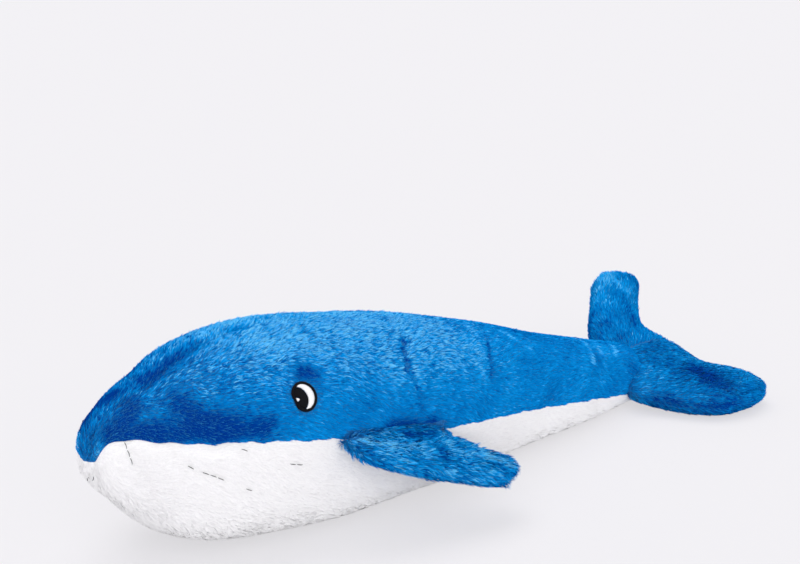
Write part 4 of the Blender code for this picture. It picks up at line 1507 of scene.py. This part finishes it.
def fill_stitches(inside, eye, field):
    """Straight stitches side by side over a field, from a test of which places lie inside it."""
    degrees, seed = field
    rng = np.random.default_rng(seed)
    reach = max(eye.width, eye.height)
    slope = math.radians(degrees)
    along = np.array([math.cos(slope), math.sin(slope)])
    across = np.array([-along[1], along[0]])
    made = []
    for offset in np.arange(-reach, reach, eye.stitch_spacing):
        t = np.arange(-reach, reach, STITCH_SAMPLING)
        places = along * t[:, None] + across * offset
        held = inside(places[:, 0], places[:, 1])
        edges = np.flatnonzero(np.diff(np.concatenate([[0], held.astype(int), [0]])))
        for first, last in zip(edges[::2], edges[1::2]):
            if (last - first) * STITCH_SAMPLING < SHORTEST_STITCH:
                continue
            start, end = t[first] + rng.uniform(-1, 1) * STITCH_JITTER, t[last - 1]
            s = np.linspace(0, 1, max(4, int((end - start) / STITCH_STEP) + 2))
            spots = along * (start + (end - start) * s)[:, None] + across * offset
            made.append((spots, arched(s, FIELD_ARCH)))
    return made


def rim_stitches(oval, rim, spacing):
    """Short stitches across the rim, all round it."""
    width, height = oval[:2]
    made = []
    count = int(math.pi * (width + height) / 2 / spacing)
    for number in range(count):
        angle = math.tau * number / count
        way = np.array([math.cos(angle), math.sin(angle)])
        far = np.linspace(0, 0.7, 281)[:, None] * height * way
        outer = far[np.argmax(oval_gap(far[:, 0], far[:, 1], oval) > 0)]
        inner = outer * (1 - rim / np.linalg.norm(outer))
        s = np.linspace(0, 1, 5)
        made.append((inner + (outer - inner) * s[:, None], arched(s, RIM_ARCH)))
    return made


class WHALE_OT_eyes(Operator):
    """Embroiders both eyes: rim, white, pupil and glint."""

    bl_idname = "whale.eyes"
    bl_label = "Eyes"

    def execute(self, context):
        eye = context.scene.whale_eye
        whole = (eye.width, eye.height, 0, 0, 0)
        within = (eye.width, eye.height, 0, 0, -eye.rim * WHITE_UNDER_RIM)
        pupil, glint = (tuple(v * MM for v in row) for row in (PUPIL_OVAL, GLINT_OVAL))

        def in_white(a, b):
            return (oval_gap(a, b, within) < 0) & (oval_gap(a, b, pupil) > PUPIL_GAP)

        def in_pupil(a, b):
            held = (oval_gap(a, b, within) < 0) & (oval_gap(a, b, pupil) < 0)
            return held & (oval_gap(a, b, glint, False) > GLINT_GAP)

        def in_glint(a, b):
            return oval_gap(a, b, glint, False) < 0

        def threads(stitches, side):
            out = eye_frame(side)[3]
            for places, lift in stitches:
                radius = np.full(len(places), eye.thread / 2)
                radius[[0, -1]] *= THREAD_END
                yield on_eye(places, lift, side), out, radius

        for side, word in SIDES:
            rows = (
                ("rim", rim_stitches(whole, eye.rim, eye.stitch_spacing), "black"),
                ("white", fill_stitches(in_white, eye, WHITE_FIELD), "white"),
                ("pupil", fill_stitches(in_pupil, eye, PUPIL_FIELD), "black"),
                ("glint", fill_stitches(in_glint, eye, GLINT_FIELD), "white"),
            )
            for part, stitches, colour in rows:
                add_threads(
                    f"eye_{part}_stitches_{word}",
                    threads(stitches, side),
                    f"{colour}_satin_thread",
                    f"eye_{part}_{word}",
                )
        return {"FINISHED"}


def pleat_threads(row, shown, side):
    """The stitches of a pleat's row, sunk where the thread isn't shown."""
    line = pleat_line(row, side, 160)
    place = np.concatenate([[0], np.cumsum(np.linalg.norm(np.diff(line, axis=0), axis=1))])
    count = max(2, round(place[-1] / PLEAT_STITCH_STEP))
    s = np.linspace(0, 1, PLEAT_POINTS)
    radius = PLEAT_THREAD / 2 * np.sin(np.pi * (PLEAT_TAPER + (1 - 2 * PLEAT_TAPER) * s)) ** 0.5
    first, span = PLEAT_STITCH_SPAN
    for number in range(count):
        at = (number + first + span * s) / count
        spine = np.stack([np.interp(at * place[-1], place, line[:, k]) for k in range(3)], axis=1)
        middle = np.stack([spine[:, 0], 0 * s, BODY_CORE_HEIGHT + 0 * s], axis=1)
        out = unit(spine - middle)
        seen = any(low <= at.mean() <= high for low, high in shown)
        deep = PLEAT_SHOWN_DEPTH if seen else PLEAT_SUNK_DEPTH
        yield spine + out * (deep + PLEAT_ARCH * np.sin(np.pi * s))[:, None], out, radius


class WHALE_OT_pleats(Operator):
    """Sews the pleats of the throat, each stitch a short thread that dips at its ends."""

    bl_idname = "whale.pleats"
    bl_label = "Pleats"

    def execute(self, context):
        rows = [
            (f"{number}_{word}", row, side)
            for side, word in SIDES
            for number, row in enumerate(PLEAT_ROWS, start=1)
        ]
        rows.append(("middle", MIDDLE_PLEAT_ROW, -1))
        for word, row, side in rows:
            add_threads(
                f"pleat_thread_{word}",
                pleat_threads(*row, side),
                "grey_pleat_thread",
                f"pleat_stitch_{word}",
            )
        return {"FINISHED"}


class WHALE_OT_stage(Operator):
    """Sets the camera, the pale floor and the soft light."""

    bl_idname = "whale.stage"
    bl_label = "Stage"

    def execute(self, context):
        scene = context.scene
        stage = scene.whale_stage
        data = bpy.data.cameras.new("camera")
        data.lens = stage.camera_lens
        data.sensor_width = 36.0
        data.clip_end = 50.0
        camera = bpy.data.objects.new("camera", data)
        camera.location = stage.camera_place
        camera.rotation_euler = (math.pi / 2 - stage.camera_pitch, 0, -stage.camera_yaw)
        scene.collection.objects.link(camera)
        scene.camera = camera
        scene.view_settings.view_transform = "Standard"

        half = stage.floor_size / 2
        corners = np.array([(-half, -half, 0), (half, -half, 0), (half, half, 0), (-half, half, 0)])
        floor = add_mesh("floor", corners, [np.array([[0, 1, 2, 3]])])
        floor.data.materials.append(floor_material(tuple(stage.floor_colour)))
        floor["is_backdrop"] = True

        for name, place, spread, strength in LAMPS:
            light = bpy.data.lights.new(name, "SUN")
            light.angle = math.radians(spread)
            light.energy = strength * math.pi
            lamp = bpy.data.objects.new(name, light)
            lamp.location = place
            lamp.rotation_euler = (-Vector(place)).to_track_quat("-Z", "Y").to_euler()
            scene.collection.objects.link(lamp)

        world = bpy.data.worlds.new("pale_studio")
        world.use_nodes = True
        scene.world = world
        background = world.node_tree.nodes["Background"]
        background.inputs["Color"].default_value = (*stage.floor_colour, 1)
        strength = seen_share(world.node_tree, WORLD_STRENGTH, 1.0)
        world.node_tree.links.new(strength, background.inputs["Strength"])
        return {"FINISHED"}


class WHALE_PT_panel(Panel):
    """Lists the whale's sizes and the operators that build it."""

    bl_label = "Plush whale"
    bl_space_type = "VIEW_3D"
    bl_region_type = "UI"
    bl_category = "Whale"

    def draw(self, context):
        for name in SETTINGS:
            group = getattr(context.scene, name)
            box = self.layout.box()
            for key in group.__annotations__:
                box.prop(group, key)
        for operator in OPERATORS:
            self.layout.operator(operator.bl_idname)


SETTINGS = {
    "whale_form": WhaleFormSettings,
    "whale_pile": WhalePileSettings,
    "whale_eye": WhaleEyeSettings,
    "whale_colours": WhaleColourSettings,
    "whale_stage": WhaleStageSettings,
}
OPERATORS = (
    WHALE_OT_stage,
    WHALE_OT_back_covers,
    WHALE_OT_belly_cover,
    WHALE_OT_fins,
    WHALE_OT_flukes,
    WHALE_OT_eyes,
    WHALE_OT_pleats,
)


def register():
    for name, group in SETTINGS.items():
        bpy.utils.register_class(group)
        setattr(bpy.types.Scene, name, PointerProperty(type=group))
    for made in (*OPERATORS, WHALE_PT_panel):
        bpy.utils.register_class(made)


def unregister():
    for made in reversed((*OPERATORS, WHALE_PT_panel)):
        bpy.utils.unregister_class(made)
    for name, group in reversed(SETTINGS.items()):
        delattr(bpy.types.Scene, name)
        bpy.utils.unregister_class(group)


def main():
    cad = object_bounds()
    register()
    for operator in OPERATORS:
        group, call = operator.bl_idname.split(".")
        getattr(getattr(bpy.ops, group), call)()
    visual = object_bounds()
    boxes = {
        name: [list(corner) for corner in box]
        for name, box in (("cad", cad), ("visual", visual))
    }


if __name__ == "__main__":
    main()
